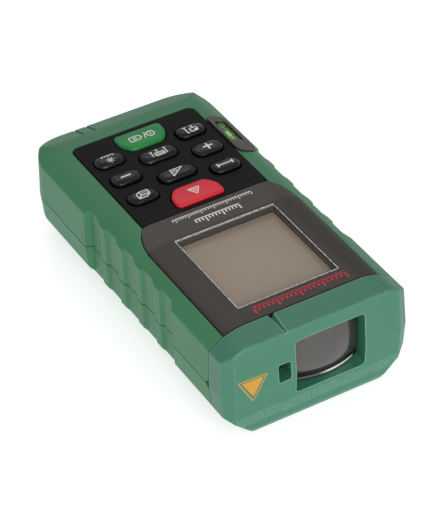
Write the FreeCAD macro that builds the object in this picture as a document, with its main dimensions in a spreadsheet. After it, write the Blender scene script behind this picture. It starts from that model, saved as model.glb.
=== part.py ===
"""A pocket laser distance meter, lying on its back.

Millimetres. +Z is up through the keys, the optics look towards -Y, the tail is at +Y, and the origin
is under the middle of the meter, on the surface that it lies on. Every size is a cell of the sheet
below, and every piece is a separate solid with a label that names its file.
"""
import FreeCAD, Part
import math
import os
import re
import Sketcher

SIZES = {
    # Outer form
    "body_length": 116.0,
    "body_width": 57.6,
    "body_height": 31.2,
    "parting_height": 15.5,
    "parting_gap": 0.3,
    "cap_depth": 8.8,
    "seam_gap": 0.35,
    "tail_round": 12.0,
    # Section across the meter: shoulders and crown above, keel below
    "shoulder_height": 27.0,
    "shoulder_inset": 0.5,
    "knee_height": 29.9,
    "knee_inset": 4.8,
    "crown_inset": 9.8,
    "crown_round": 12.0,
    "keel_height": 8.0,
    "keel_inset": 0.6,
    "keel_run": 8.8,
    "shoulder_edge": 1.0,
    "keel_edge": 1.2,
    "nose_edge": 0.7,
    "grip_edge": 0.35,
    # Section along the meter: tail slope, tail keel and the front cap's top and chin
    "slope_length": 13.5,
    "slope_knee_length": 8.0,
    "slope_knee_height": 30.2,
    "slope_end_height": 27.0,
    "tail_keel": 5.0,
    "brow_height": 30.3,
    "chin_height": 4.1,
    "chin_run": 1.8,
    "cheek_length": 2.5,
    "cheek_width": 3.3,
    # Walls
    "side_wall": 4.2,
    "tail_wall": 2.8,
    "floor_wall": 2.2,
    "cap_wall": 2.8,
    "deck_height": 28.8,
    "deck_wall": 2.0,
    "lower_ceiling": 22.5,
    "lip_width": 1.0,
    "lip_height": 1.8,
    "lip_clearance": 0.1,
    "well_round": 3.0,
    "well_step": 7.2,
    "cavity_round": 6.2,
    # Grip ribs on both sides
    "grip_start": 18.7,
    "grip_length": 51.0,
    "grip_floor": 2.05,
    "rib_rise": 0.75,
    "rib_pitch": 10.35,
    "rib_land": 2.7,
    "rib_ramp": 1.8,
    "rib_face": 0.9,
    "rib_first": 7.8,
    "grip_step": 1.0,
    "grip_ramp": 3.7,
    # Top panels
    "bezel_length": 50.3,
    "bezel_margin": 5.3,
    "keypad_length": 42.8,
    "keypad_margin": 9.0,
    "keypad_round": 2.0,
    "panel_gap": 0.3,
    # Display
    "view_half": 15.7,
    "view_start": 6.0,
    "view_length": 34.3,
    "view_round": 0.8,
    "window_sink": 0.6,
    "window_gap": 0.1,
    "lcd_top": 28.4,
    "lcd_thick": 1.6,
    "lcd_border": 0.4,
    "lcd_frame_wall": 0.8,
    "lcd_lip": 0.3,
    "lcd_frame_low": 26.3,
    "connector_half": 15.0,
    "connector_thick": 1.8,
    # Keys
    "key_top": 32.5,
    "key_gap": 0.3,
    "key_flange": 0.6,
    "key_flange_thick": 0.75,
    "key_stop_gap": 0.15,
    "key_travel": 0.6,
    "key_stem": 1.6,
    "key_round": 2.4,
    "key_edge": 0.7,
    "key_width": 11.5,
    "key_depth": 5.8,
    "column_gap": 2.95,
    "keypad_edge": 2.1,
    "first_row": 11.9,
    "row_pitch": 10.0,
    "middle_row": 16.1,
    "middle_pitch": 10.8,
    "wide_key_half": 7.5,
    "wide_key_neck": 5.0,
    "wide_key_depth": 8.2,
    "wide_key_step": 4.6,
    "measure_edge": 1.6,
    "power_edge": 2.1,
    "wide_key_round": 1.3,
    # Boards and what they carry
    "board_top": 24.8,
    "board_thick": 1.6,
    "board_round": 2.0,
    "board_margin": 0.5,
    "board_start": 23.2,
    "board_tail_gap": 8.5,
    "dome_height": 0.7,
    "dome_radius": 2.5,
    "post_radius": 2.0,
    "post_hole": 0.9,
    "post_inset": 3.3,
    "post_front": 5.1,
    "post_rear": 2.8,
    "screw_head": 1.9,
    "screw_head_thick": 1.3,
    "chip_size": 9.0,
    "chip_thick": 1.2,
    "buzzer_radius": 4.5,
    "buzzer_thick": 3.0,
    # Optics
    "lens_across": 3.72,
    "lens_up": 17.6,
    "lens_half": 9.7,
    "lens_tall_half": 8.6,
    "lens_dome": 24.7,
    "lens_sink": 1.2,
    "lens_thick": 7.0,
    "lens_seat": 0.7,
    "ring_wall": 1.1,
    "ring_length": 2.8,
    "collar_length": 5.2,
    "collar_wall": 1.0,
    "optics_radius": 10.4,
    "focus_length": 22.0,
    "cone_wall": 1.1,
    "diode_radius": 2.0,
    "diode_thick": 2.6,
    "receiver_board_thick": 1.2,
    "receiver_board_half": 7.5,
    "receiver_board_low": 9.0,
    "receiver_board_gap": 0.4,
    "window_width": 21.5,
    "window_tall": 17.65,
    "window_up": 17.4,
    "window_round": 1.3,
    "beam_across": -10.5,
    "beam_width": 3.85,
    "beam_tall": 6.0,
    "beam_round": 0.8,
    "laser_radius": 3.2,
    "laser_length": 14.0,
    "sleeve_length": 8.0,
    "collimator_thick": 0.8,
    "laser_sleeve": 1.0,
    "collimator_radius": 2.5,
    "chassis_thick": 2.2,
    "chassis_half": 17.0,
    "chassis_low": 5.0,
    "chassis_high": 26.4,
    # Spirit level
    "vial_inset": 5.5,
    "vial_half": 3.05,
    "vial_round": 2.7,
    "vial_start": 66.2,
    "vial_length": 20.5,
    "vial_low": 25.0,
    "vial_proud": 0.5,
    "vial_gap": 0.15,
    "vial_axis": 28.3,
    "tube_radius": 1.9,
    "tube_wall": 0.45,
    "tube_setback": 4.2,
    "tube_length": 14.0,
    "vial_view": 11.0,
    "view_setback": 6.2,
    "view_rim": 1.1,
    "bubble_radius": 0.55,
    "bubble_length": 3.2,
    "bubble_gap": 0.08,
    "bubble_travel": 2.5,
    "plug_thick": 1.2,
    # Batteries
    "cell_radius": 5.25,
    "cell_length": 43.7,
    "cell_nub": 0.8,
    "cell_nub_radius": 1.9,
    "cell_pitch": 11.3,
    "cell_rest": 0.4,
    "bay_play": 0.65,
    "bay_wall": 1.6,
    "spring_room": 2.3,
    "contact_thick": 0.4,
    "contact_width": 9.0,
    "bay_bulkhead": 2.0,
    "bay_clearance": 0.9,
    "door_thick": 1.9,
    "door_gap": 0.3,
    "door_end_height": 11.0,
    "door_end_wall": 2.2,
    "door_turn": 1.2,
    "ridge_pitch": 1.6,
    "ridge_depth": 0.4,
    "ridge_half": 7.0,
    "ridge_inset": 17.0,
    # Housing screws, sights, notch and plate
    "boss_radius": 2.6,
    "boss_inset": 7.05,
    "boss_front": 9.0,
    "boss_rear": 12.0,
    "screw_radius": 1.1,
    "screw_seat": 4.5,
    "screw_play": 0.2,
    "sight_width": 1.7,
    "sight_depth": 0.8,
    "tail_sight_gap": 1.9,
    "tail_sight_width": 0.9,
    "tail_sight_length": 7.5,
    "notch_radius": 1.25,
    "notch_depth": 1.6,
    "label_half": 15.0,
    "label_start": 9.0,
    "label_length": 32.0,
    "label_round": 1.0,
    "label_recess": 0.35,
    "label_thick": 0.25,
}

doc = FreeCAD.newDocument("laser_distance_meter")
sheet = doc.addObject("Spreadsheet::Sheet", "Sizes")
for row, (alias, size) in enumerate(SIZES.items(), start=1):
    sheet.set(f"A{row}", alias)
    sheet.set(f"B{row}", str(size))
    sheet.setAlias(f"B{row}", alias)
doc.recompute()

# Places that several pieces share, as expressions on the sheet.
HALF = "(body_width / 2)"
TAIL = "(body_length / 2)"
NOSE = "(-body_length / 2)"
SEAM = "(cap_depth - body_length / 2)"
PANEL_FRONT = f"({SEAM} + bezel_length)"
PANEL_REAR = f"({PANEL_FRONT} + keypad_length)"
KEYPAD_HALF = f"({HALF} - keypad_margin)"
BEZEL_HALF = f"({HALF} - bezel_margin)"
CAVITY_HALF = f"({HALF} - side_wall)"
CEILING = "(deck_height - deck_wall)"
SPLIT_HIGH = "(parting_height + parting_gap / 2)"
SPLIT_LOW = "(parting_height - parting_gap / 2)"
KEEL_SLOPE = "(keel_inset / (parting_height - keel_height))"
BAY_HALF = "(cell_pitch + cell_radius + bay_play)"
BAY_REAR = f"({TAIL} - tail_wall - bay_bulkhead)"
BAY_FRONT = f"({BAY_REAR} - contact_thick - cell_nub - cell_length - spring_room)"
BAY_TOP = "(door_thick + cell_rest + 2 * cell_radius + bay_clearance)"
PLATE_FRONT = f"({NOSE} + lens_sink + lens_thick)"
VIAL_ACROSS = f"({HALF} - vial_inset)"
VIAL_FRONT = f"({SEAM} + vial_start)"
CLEAR = 6.0
TOUCH = 1e-3
RIBS = 4
RIDGES = 6

PARTS = []
PLANES = {"XY": "XY_Plane", "XZ": "XZ_Plane", "YZ": "YZ_Plane"}


def bind(text):
    """The expression with each size's name pointing at its cell of the sheet."""
    return re.sub(r"[a-z][a-z_]*", lambda word: ("Sizes." if word.group() in SIZES else "") + word.group(),
                  str(text))


def value(text):
    """The number that an expression on the sheet gives."""
    return float(sheet.evalExpression(bind(text)))


def hold(item, prop, text):
    """Bind one property of an object to an expression on the sheet."""
    item.setExpression(prop, bind(text))


def keep(item, label):
    """Name a finished sub-part and put it on the list of files."""
    item.Label = label
    PARTS.append(item)
    return item


# ---- Sketches -------------------------------------------------------------------------------------

def dimension(rules, kind, places, text):
    """Queue a sketch dimension whose size is an expression on the sheet."""
    rules.append((Sketcher.Constraint(kind, *places, value(text)), text))


def relation(rules, kind, *places):
    """Queue a geometric rule that has no size."""
    rules.append((Sketcher.Constraint(kind, *places), None))


def pin_point(rules, index, position, across, up):
    """Queue a point's distances from the origin."""
    dimension(rules, "DistanceX", (-1, 1, index, position), across)
    dimension(rules, "DistanceY", (-1, 1, index, position), up)


def settle(sketch, rules):
    """Give the sketch its rules at once, then bind the sizes."""
    indices = sketch.addConstraint([rule for rule, text in rules])
    for index, (rule, text) in zip(indices, rules):
        if text is not None:
            sketch.setExpression(f"Constraints[{index}]", bind(text))


def corner_arc(place, before, after, radius):
    """Where a rounded corner starts and ends, its centre, and whether it turns left."""
    to_before = (before - place).normalize()
    to_after = (after - place).normalize()
    opening = to_before.getAngle(to_after)
    reach = radius / math.tan(opening / 2)
    centre = place + (to_before + to_after).normalize() * (radius / math.sin(opening / 2))
    left = to_after.cross(to_before).z > 0
    return place + to_before * reach, place + to_after * reach, centre, left


def outline(sketch, corners):
    """A closed outline through corners (across, up[, radius]), all expressions on the sheet."""
    places = [FreeCAD.Vector(value(corner[0]), value(corner[1]), 0) for corner in corners]
    count = len(corners)
    begins, ends, arcs, rules = list(places), list(places), {}, []
    for i, corner in enumerate(corners):
        if len(corner) > 2:
            radius = value(corner[2])
            begins[i], ends[i], centre, left = corner_arc(places[i], places[i - 1],
                                                          places[(i + 1) % count], radius)
            first, last = (begins[i], ends[i]) if left else (ends[i], begins[i])
            angles = [math.atan2(end.y - centre.y, end.x - centre.x) for end in (first, last)]
            if angles[1] < angles[0]:
                angles[1] += 2 * math.pi
            circle = Part.Circle(centre, FreeCAD.Vector(0, 0, 1), radius)
            arcs[i] = (sketch.addGeometry(Part.ArcOfCircle(circle, *angles)), left)
    lines = [sketch.addGeometry(Part.LineSegment(ends[i], begins[(i + 1) % count])) for i in range(count)]
    for i, corner in enumerate(corners):
        if i in arcs:
            arc, left = arcs[i]
            start, stop = (1, 2) if left else (2, 1)
            point = sketch.addGeometry(Part.Point(places[i]), True)
            relation(rules, "Tangent", lines[i - 1], 2, arc, start)
            relation(rules, "Tangent", arc, stop, lines[i], 1)
            dimension(rules, "Radius", (arc,), corner[2])
            relation(rules, "PointOnObject", point, 1, lines[i - 1])
            relation(rules, "PointOnObject", point, 1, lines[i])
            pin_point(rules, point, 1, corner[0], corner[1])
        else:
            relation(rules, "Coincident", lines[i - 1], 2, lines[i], 1)
            pin_point(rules, lines[i], 1, corner[0], corner[1])
    settle(sketch, rules)


def ring(sketch, across, up, radius):
    """A circle of the given radius about a point."""
    centre = FreeCAD.Vector(value(across), value(up), 0)
    index = sketch.addGeometry(Part.Circle(centre, FreeCAD.Vector(0, 0, 1), value(radius)))
    rules = []
    pin_point(rules, index, 3, across, up)
    dimension(rules, "Radius", (index,), radius)
    settle(sketch, rules)


def block(left, right, low, high, radius=None):
    """The four corners of an upright rectangle."""
    corners = [(left, low), (right, low), (right, high), (left, high)]
    return [corner + (radius,) for corner in corners] if radius else corners


def both_sides(corners):
    """A right-hand run of corners, bottom to top, closed by its mirror image on the left."""
    return corners + [(f"-({corner[0]})",) + tuple(corner[1:]) for corner in reversed(corners)]


def draw(owner, plane, at, shapes, name):
    """A sketch on one of the body's own planes, at a place along the axis across that plane."""
    sketch = owner.newObject("Sketcher::SketchObject", name + "_sketch")
    base = [item for item in owner.Origin.OriginFeatures if item.Role == PLANES[plane]][0]
    sketch.AttachmentSupport = [(base, "")]
    sketch.MapMode = "FlatFace"
    hold(sketch, "AttachmentOffset.Base.z", f"-({at})" if plane == "XZ" else at)
    for shape in shapes:
        if isinstance(shape, tuple):
            ring(sketch, *shape)
        else:
            outline(sketch, shape)
    return sketch


# ---- Features of a body ---------------------------------------------------------------------------

def start_body(name):
    return keep(doc.addObject("PartDesign::Body", name), name)


def pad(owner, name, plane, low, high, shapes, taper=None, down=False):
    """Material from low to high along the axis across the plane, drawn at low, or at high for down."""
    drawn_at_high = (plane == "XZ") != down
    sketch = draw(owner, plane, high if drawn_at_high else low, shapes, name)
    feature = owner.newObject("PartDesign::Pad", name)
    feature.Profile = sketch
    feature.Reversed = down
    hold(feature, "Length", f"({high}) - ({low})")
    if taper:
        hold(feature, "TaperAngle", taper)
    return feature


def pocket(owner, name, plane, low, high, shapes):
    """A cut from low to high along the axis across the plane."""
    sketch = draw(owner, plane, low if plane == "XZ" else high, shapes, name)
    feature = owner.newObject("PartDesign::Pocket", name)
    feature.Profile = sketch
    hold(feature, "Length", f"({high}) - ({low})")
    return feature


def soften(owner, name, radius, wanted):
    """A fillet on the edges of the body's last feature that the test picks."""
    doc.recompute()
    last = owner.Tip
    edges = [f"Edge{i}" for i, edge in enumerate(last.Shape.Edges, start=1) if wanted(edge)]
    feature = owner.newObject("PartDesign::Fillet", name)
    feature.Base = (last, edges)
    hold(feature, "Radius", radius)
    return feature


def top_edges(height):
    """Picks the edges that lie flat at one height."""
    return lambda edge: edge.BoundBox.ZLength < TOUCH and abs(edge.BoundBox.ZMin - value(height)) < TOUCH


def outer_edges(split, seam):
    """Picks every edge of an outer block, but not those round its open faces at the split and the seam."""
    def wanted(edge):
        bounds = edge.BoundBox
        at_split = bounds.ZLength < TOUCH and abs(bounds.ZMin - value(split)) < TOUCH
        at_seam = bounds.YLength < TOUCH and abs(bounds.YMin - value(seam)) < TOUCH
        return not (at_split or at_seam)
    return wanted


def grip_edges(edge):
    """Picks the upright edges of the grip recesses."""
    bounds = edge.BoundBox
    upright = bounds.ZLength > 5 and bounds.YLength < 3 and bounds.XLength < 3
    return upright and value(f"{SEAM} + 5") < bounds.YMin < value(f"{TAIL} - 15")


# ---- Primitives and booleans ----------------------------------------------------------------------

def box(name, left, right, front, back, low, high):
    item = doc.addObject("Part::Box", name)
    for prop, text in (("Length", f"({right}) - ({left})"), ("Width", f"({back}) - ({front})"),
                       ("Height", f"({high}) - ({low})"), ("Placement.Base.x", left),
                       ("Placement.Base.y", front), ("Placement.Base.z", low)):
        hold(item, prop, text)
    return item


def rod(name, across, along, up, length, radius, axis="z", end_radius=None):
    """A cylinder, or a cone with end_radius, from a point along +Z or +Y."""
    item = doc.addObject("Part::Cone" if end_radius else "Part::Cylinder", name)
    if axis == "y":
        item.Placement.Rotation = FreeCAD.Rotation(FreeCAD.Vector(1, 0, 0), -90)
    hold(item, "Height", length)
    hold(item, "Radius1" if end_radius else "Radius", radius)
    if end_radius:
        hold(item, "Radius2", end_radius)
    for prop, text in (("x", across), ("y", along), ("z", up)):
        hold(item, f"Placement.Base.{prop}", text)
    return item


def fuse(name, *items):
    item = doc.addObject("Part::MultiFuse", name)
    item.Shapes = list(items)
    return item


def cut(name, base, tool):
    item = doc.addObject("Part::Cut", name)
    item.Base = base
    item.Tool = tool
    return item


def common(name, *items):
    item = doc.addObject("Part::MultiCommon", name)
    item.Shapes = list(items)
    return item


def group(name, items):
    item = doc.addObject("Part::Compound", name)
    item.Links = list(items)
    return keep(item, name)


# ---- Housing: shared outlines ---------------------------------------------------------------------

UPPER_DRAFT = "-atan(shoulder_inset / (shoulder_height - parting_height))"
LOWER_DRAFT = "-atan(keel_inset / (parting_height - keel_height))"


def plan(front):
    """The housing seen from above, with its round tail corners."""
    return both_sides([(HALF, front), (HALF, TAIL, "tail_round")])


def crown_cut():
    """Everything above the shoulders and the crown, seen along the meter."""
    right = [(f"{HALF} - 2 * shoulder_inset + knee_inset", "2 * shoulder_height - knee_height"),
             (f"{HALF} - knee_inset", "knee_height", "crown_round"),
             (f"{HALF} - crown_inset", "body_height", "crown_round")]
    left = [(f"-({corner[0]})",) + corner[1:] for corner in reversed(right)]
    lid = [(f"-({HALF} + {CLEAR})", f"body_height + {CLEAR}"), (f"{HALF} + {CLEAR}", f"body_height + {CLEAR}")]
    return right + left + lid


def keel_cuts():
    """The two triangles that bevel the bottom edges, seen along the meter."""
    reach = [(f"{HALF} - 2 * keel_inset + keel_run", "2 * keel_height"),
             (f"{HALF} - 2 * keel_run + keel_inset", "-keel_height"),
             (f"{HALF} + keel_run", "-keel_height")]
    return [reach, [(f"-({across})", up) for across, up in reach]]


def below_ground():
    """Everything below the flat underside, seen along the meter."""
    return both_sides([(f"{HALF} + {CLEAR}", f"-{CLEAR}"), (f"{HALF} + {CLEAR}", "0")])


def trim_square(owner, name, front, rear):
    """Cuts a drafted block off square across the meter between two places along it."""
    pocket(owner, name, "XZ", front, rear,
           [block(f"-({HALF} + {CLEAR})", f"{HALF} + {CLEAR}", f"-{CLEAR}", f"body_height + {CLEAR}")])


def bezel_sides(front, spread):
    """The right-hand edge of the display bezel, with its waist towards the keypad."""
    return [(f"{BEZEL_HALF} + {spread}", front),
            (f"{BEZEL_HALF} + {spread}", f"{PANEL_FRONT} - 10", "20"),
            (f"{BEZEL_HALF} - 0.6 + {spread}", f"{PANEL_FRONT} - 6.1", "6"),
            (f"{BEZEL_HALF} - 1.9 + {spread}", f"{PANEL_FRONT} - 2.4", "6"),
            (f"{KEYPAD_HALF} + {spread}", f"{PANEL_FRONT} - {spread}")]


def grip_cuts():
    """The two side recesses with their ribs, seen from above."""
    front = f"({SEAM} + grip_start)"
    rear = f"({front} + grip_length)"
    floor = f"({HALF} - grip_floor)"
    outside = f"({HALF} + grip_floor)"
    edge = [(outside, f"{front} - grip_ramp"), (floor, f"{front} + grip_ramp")]
    for k in reversed(range(RIBS)):
        land = f"({rear} - rib_first - {k} * rib_pitch)"
        edge += [(floor, f"{land} - rib_land - rib_face"), (f"{floor} + rib_rise", f"{land} - rib_land"),
                 (f"{floor} + rib_rise", land), (floor, f"{land} + rib_ramp")]
    edge += [(floor, f"{rear} - grip_step"), (outside, f"{rear} + grip_step")]
    return [edge, [(f"-({across})", along) for across, along in edge]]


def cavity(front):
    """The inside of both shells, seen from above, open at the front."""
    return both_sides([(CAVITY_HALF, front), (CAVITY_HALF, f"{TAIL} - tail_wall", "cavity_round")])


def boss_places():
    """The four housing screws."""
    rows = (f"{SEAM} + boss_front", f"{TAIL} - boss_rear")
    return [(f"{side} * ({HALF} - boss_inset)", along) for side in (-1, 1) for along in rows]


def post_places():
    """The four board screws."""
    rows = (f"{PANEL_FRONT} - post_front", f"{PANEL_REAR} + post_rear")
    return [(f"{side} * ({KEYPAD_HALF} - post_inset)", along) for side in (-1, 1) for along in rows]


def display_block(spread):
    """The display's viewing area seen from above, spread by a margin."""
    return block(f"-(view_half + {spread})", f"view_half + {spread}", f"{SEAM} + view_start - ({spread})",
                 f"{SEAM} + view_start + view_length + {spread}")


def tail_at(height):
    """Where the drafted tail of the lower shell stands at a height."""
    return f"({TAIL} - (parting_height - {height}) * {KEEL_SLOPE})"


# ---- Keys: outlines -------------------------------------------------------------------------------

SIDE_WIDTH = f"({KEYPAD_HALF} - keypad_edge - key_width / 2 - column_gap)"
SIDE_ACROSS = f"({KEYPAD_HALF} - keypad_edge - {SIDE_WIDTH} / 2)"
MEASURE_EDGE = f"({PANEL_FRONT} + measure_edge)"
POWER_EDGE = f"({PANEL_REAR} - power_edge)"


def small_key(across, along, width):
    """A rounded key: a function of how far its outline is spread."""
    def corners(spread):
        return block(f"{across} - {width} / 2 - {spread}", f"{across} + {width} / 2 + {spread}",
                     f"{along} - key_depth / 2 - {spread}", f"{along} + key_depth / 2 + {spread}",
                     f"key_round + {spread}")
    return corners


def wide_key(edge, inward):
    """A wide key with a narrower neck towards the middle of the keypad."""
    def corners(spread):
        rounding = f"wide_key_round + {spread}"
        right = [(f"wide_key_half + {spread}", f"{edge} - {inward} * {spread}", rounding),
                 (f"wide_key_half + {spread}", f"{edge} + {inward} * (wide_key_step + {spread} / 2)", rounding),
                 (f"wide_key_neck + {spread}", f"{edge} + {inward} * (wide_key_depth + {spread})", rounding)]
        return both_sides(right if inward > 0 else list(reversed(right)))
    return corners


def side_row(k):
    return f"({PANEL_FRONT} + first_row + {k} * row_pitch)"


def middle_row(k):
    return f"({PANEL_FRONT} + middle_row + {k} * middle_pitch)"


# Each key: its outline and its middle.
KEYS = {
    "measure_key": (wide_key(MEASURE_EDGE, 1), "0", f"({MEASURE_EDGE} + wide_key_depth / 2)"),
    "power_key": (wide_key(POWER_EDGE, -1), "0", f"({POWER_EDGE} - wide_key_depth / 2)"),
    "triangle_key": (small_key("0", middle_row(0), "key_width"), "0", middle_row(0)),
    "indirect_key": (small_key("0", middle_row(1), "key_width"), "0", middle_row(1)),
}
for side, names in ((-1, ("volume_key", "minus_key", "unit_key")), (1, ("length_key", "plus_key", "area_key"))):
    for k, name in enumerate(names):
        across = f"({side} * {SIDE_ACROSS})"
        KEYS[name] = (small_key(across, side_row(k), SIDE_WIDTH), across, side_row(k))


# ---- Housing --------------------------------------------------------------------------------------

def cut_seam_notches(shell):
    """The half-round pry notches at the seam, one on each side."""
    for k, (low, high) in enumerate(((f"-({HALF} + {CLEAR})", f"-({HALF} - notch_depth)"),
                                     (f"{HALF} - notch_depth", f"{HALF} + {CLEAR}"))):
        pocket(shell, f"seam_notch_{k}", "YZ", low, high, [(SEAM, "parting_height", "notch_radius")])


def cut_tail_sights(shell):
    """Two short grooves down the tail slope, one on each side of the laser's line."""
    slope = "((slope_knee_height - slope_end_height) / slope_knee_length)"
    start = f"slope_end_height + tail_sight_length * {slope} - sight_depth / 2"
    for k, side in enumerate((-1, 1)):
        middle = f"beam_across + {side} * tail_sight_gap"
        pocket(shell, f"tail_sight_{k}", "YZ", f"{middle} - tail_sight_width / 2",
               f"{middle} + tail_sight_width / 2", [[
                   (f"{TAIL} - tail_sight_length", start),
                   (f"{TAIL} + {CLEAR}", f"slope_end_height - {CLEAR} * {slope} - sight_depth / 2"),
                   (f"{TAIL} + {CLEAR}", f"body_height + {CLEAR}"),
                   (f"{TAIL} - tail_sight_length", f"body_height + {CLEAR}")]])


def upper_housing():
    """The upper shell: shoulders, crown, tail slope and the deck that carries the top panels."""
    shell = start_body("upper_housing")
    open_front = f"{SEAM} - {CLEAR}"
    pad(shell, "upper_block", "XY", SPLIT_HIGH, "body_height + 1", [plan(open_front)], taper=UPPER_DRAFT)
    trim_square(shell, "upper_seam", f"{open_front} - 1", SEAM)
    pocket(shell, "upper_crown", "XZ", open_front, f"{TAIL} + {CLEAR}", [crown_cut()])
    pocket(shell, "tail_slope", "YZ", f"-({HALF} + {CLEAR})", f"{HALF} + {CLEAR}", [[
        (f"{TAIL} + slope_knee_length", "2 * slope_end_height - slope_knee_height"),
        (f"{TAIL} - slope_knee_length", "slope_knee_height", "crown_round"),
        (f"{TAIL} - 2 * slope_length + slope_knee_length", "2 * body_height - slope_knee_height"),
        (f"{TAIL} - 2 * slope_length + slope_knee_length", f"body_height + {CLEAR}"),
        (f"{TAIL} + slope_knee_length", f"body_height + {CLEAR}")]])
    soften(shell, "shoulder_rounding", "shoulder_edge", outer_edges(SPLIT_HIGH, SEAM))
    pocket(shell, "upper_grips", "XY", SPLIT_HIGH, f"body_height + {CLEAR}", grip_cuts())
    soften(shell, "upper_grip_rounding", "grip_edge", grip_edges)
    pocket(shell, "upper_cavity", "XY", "0", "lower_ceiling", [cavity(open_front)])
    waist = f"{PANEL_FRONT} - 3"
    pocket(shell, "deck_cavity", "XY", "parting_height", CEILING, [both_sides([
        (f"{BEZEL_HALF} - 1.5", open_front), (f"{BEZEL_HALF} - 1.5", waist),
        (f"{HALF} - crown_inset", waist), (f"{HALF} - crown_inset", f"{TAIL} - slope_knee_length", "2")])])
    pocket(shell, "optics_relief", "XZ", open_front, f"{SEAM} + view_start - 1.5",
           [("lens_across", "lens_up", "optics_radius")])
    pocket(shell, "panel_recess", "XY", "deck_height", f"body_height + {CLEAR}", [both_sides(
        bezel_sides(open_front, "panel_gap")
        + [(f"{KEYPAD_HALF} + panel_gap", f"{PANEL_REAR} + panel_gap", "keypad_round + panel_gap")])])
    pocket(shell, "display_opening", "XY", "parting_height", "deck_height + 1",
           [display_block("lcd_border + lcd_frame_wall + 0.2")])
    pocket(shell, "key_openings", "XY", f"{CEILING} - 1", "deck_height + 1",
           [corners("(key_flange + key_gap)") for corners, across, along in KEYS.values()])
    groove = "(side_wall - lip_width - lip_clearance)"
    pocket(shell, "lip_groove", "XY", "0", "parting_height + lip_height", [both_sides([
        (f"{HALF} - {groove}", open_front),
        (f"{HALF} - {groove}", f"{TAIL} - tail_wall + lip_width + lip_clearance", "cavity_round + lip_width")])])
    for k, (across, along) in enumerate(post_places()):
        pad(shell, f"post_{k}", "XY", "board_top", f"{CEILING} + 0.5", [(across, along, "post_radius")])
    pocket(shell, "post_holes", "XY", "board_top - 1", "deck_height - 0.8",
           [(across, along, "post_hole") for across, along in post_places()])
    for k, (across, along) in enumerate(boss_places()):
        pad(shell, f"upper_boss_{k}", "XY", SPLIT_HIGH, "lower_ceiling + 0.5", [(across, along, "boss_radius")])
    pocket(shell, "boss_holes", "XY", "parting_height - 1", "lower_ceiling - 0.5",
           [(across, along, "screw_radius") for across, along in boss_places()])
    pocket(shell, "vial_slot", "XY", "vial_low", f"body_height + {CLEAR}", [block(
        f"{VIAL_ACROSS} - vial_half - vial_gap", f"{VIAL_ACROSS} + vial_half + vial_gap",
        f"{VIAL_FRONT} - vial_gap", f"{VIAL_FRONT} + vial_length + vial_gap", "vial_round + vial_gap")])
    cut_tail_sights(shell)
    cut_seam_notches(shell)


def lip_band():
    """The lining-up lip seen from above: a band round both sides and the tail."""
    inner = "(side_wall)"
    outer = "(side_wall - lip_width)"
    front = f"{SEAM} + 0.4"
    right = [(f"{HALF} - {inner}", front), (f"{HALF} - {outer}", front),
             (f"{HALF} - {outer}", f"{TAIL} - tail_wall + lip_width", "cavity_round + lip_width")]
    left = [(f"-({corner[0]})",) + corner[1:] for corner in reversed(right)]
    inside = [(f"-({CAVITY_HALF})", f"{TAIL} - tail_wall", "cavity_round"),
              (CAVITY_HALF, f"{TAIL} - tail_wall", "cavity_round")]
    return right + left + inside


def door_opening():
    """The room for the battery door seen from the side, open below and at the tail."""
    front, tail = BAY_FRONT, f"{TAIL} + {CLEAR}"
    inner = f"{TAIL} - door_end_wall - door_gap"
    return [(front, f"-{CLEAR}"), (tail, f"-{CLEAR}"), (tail, "door_end_height + door_gap"),
            (inner, "door_end_height + door_gap"), (inner, "tail_keel + door_turn + door_gap"),
            (f"{TAIL} - tail_keel - 0.8 - door_gap", "door_thick + door_gap"), (front, "door_thick + door_gap")]


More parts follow.
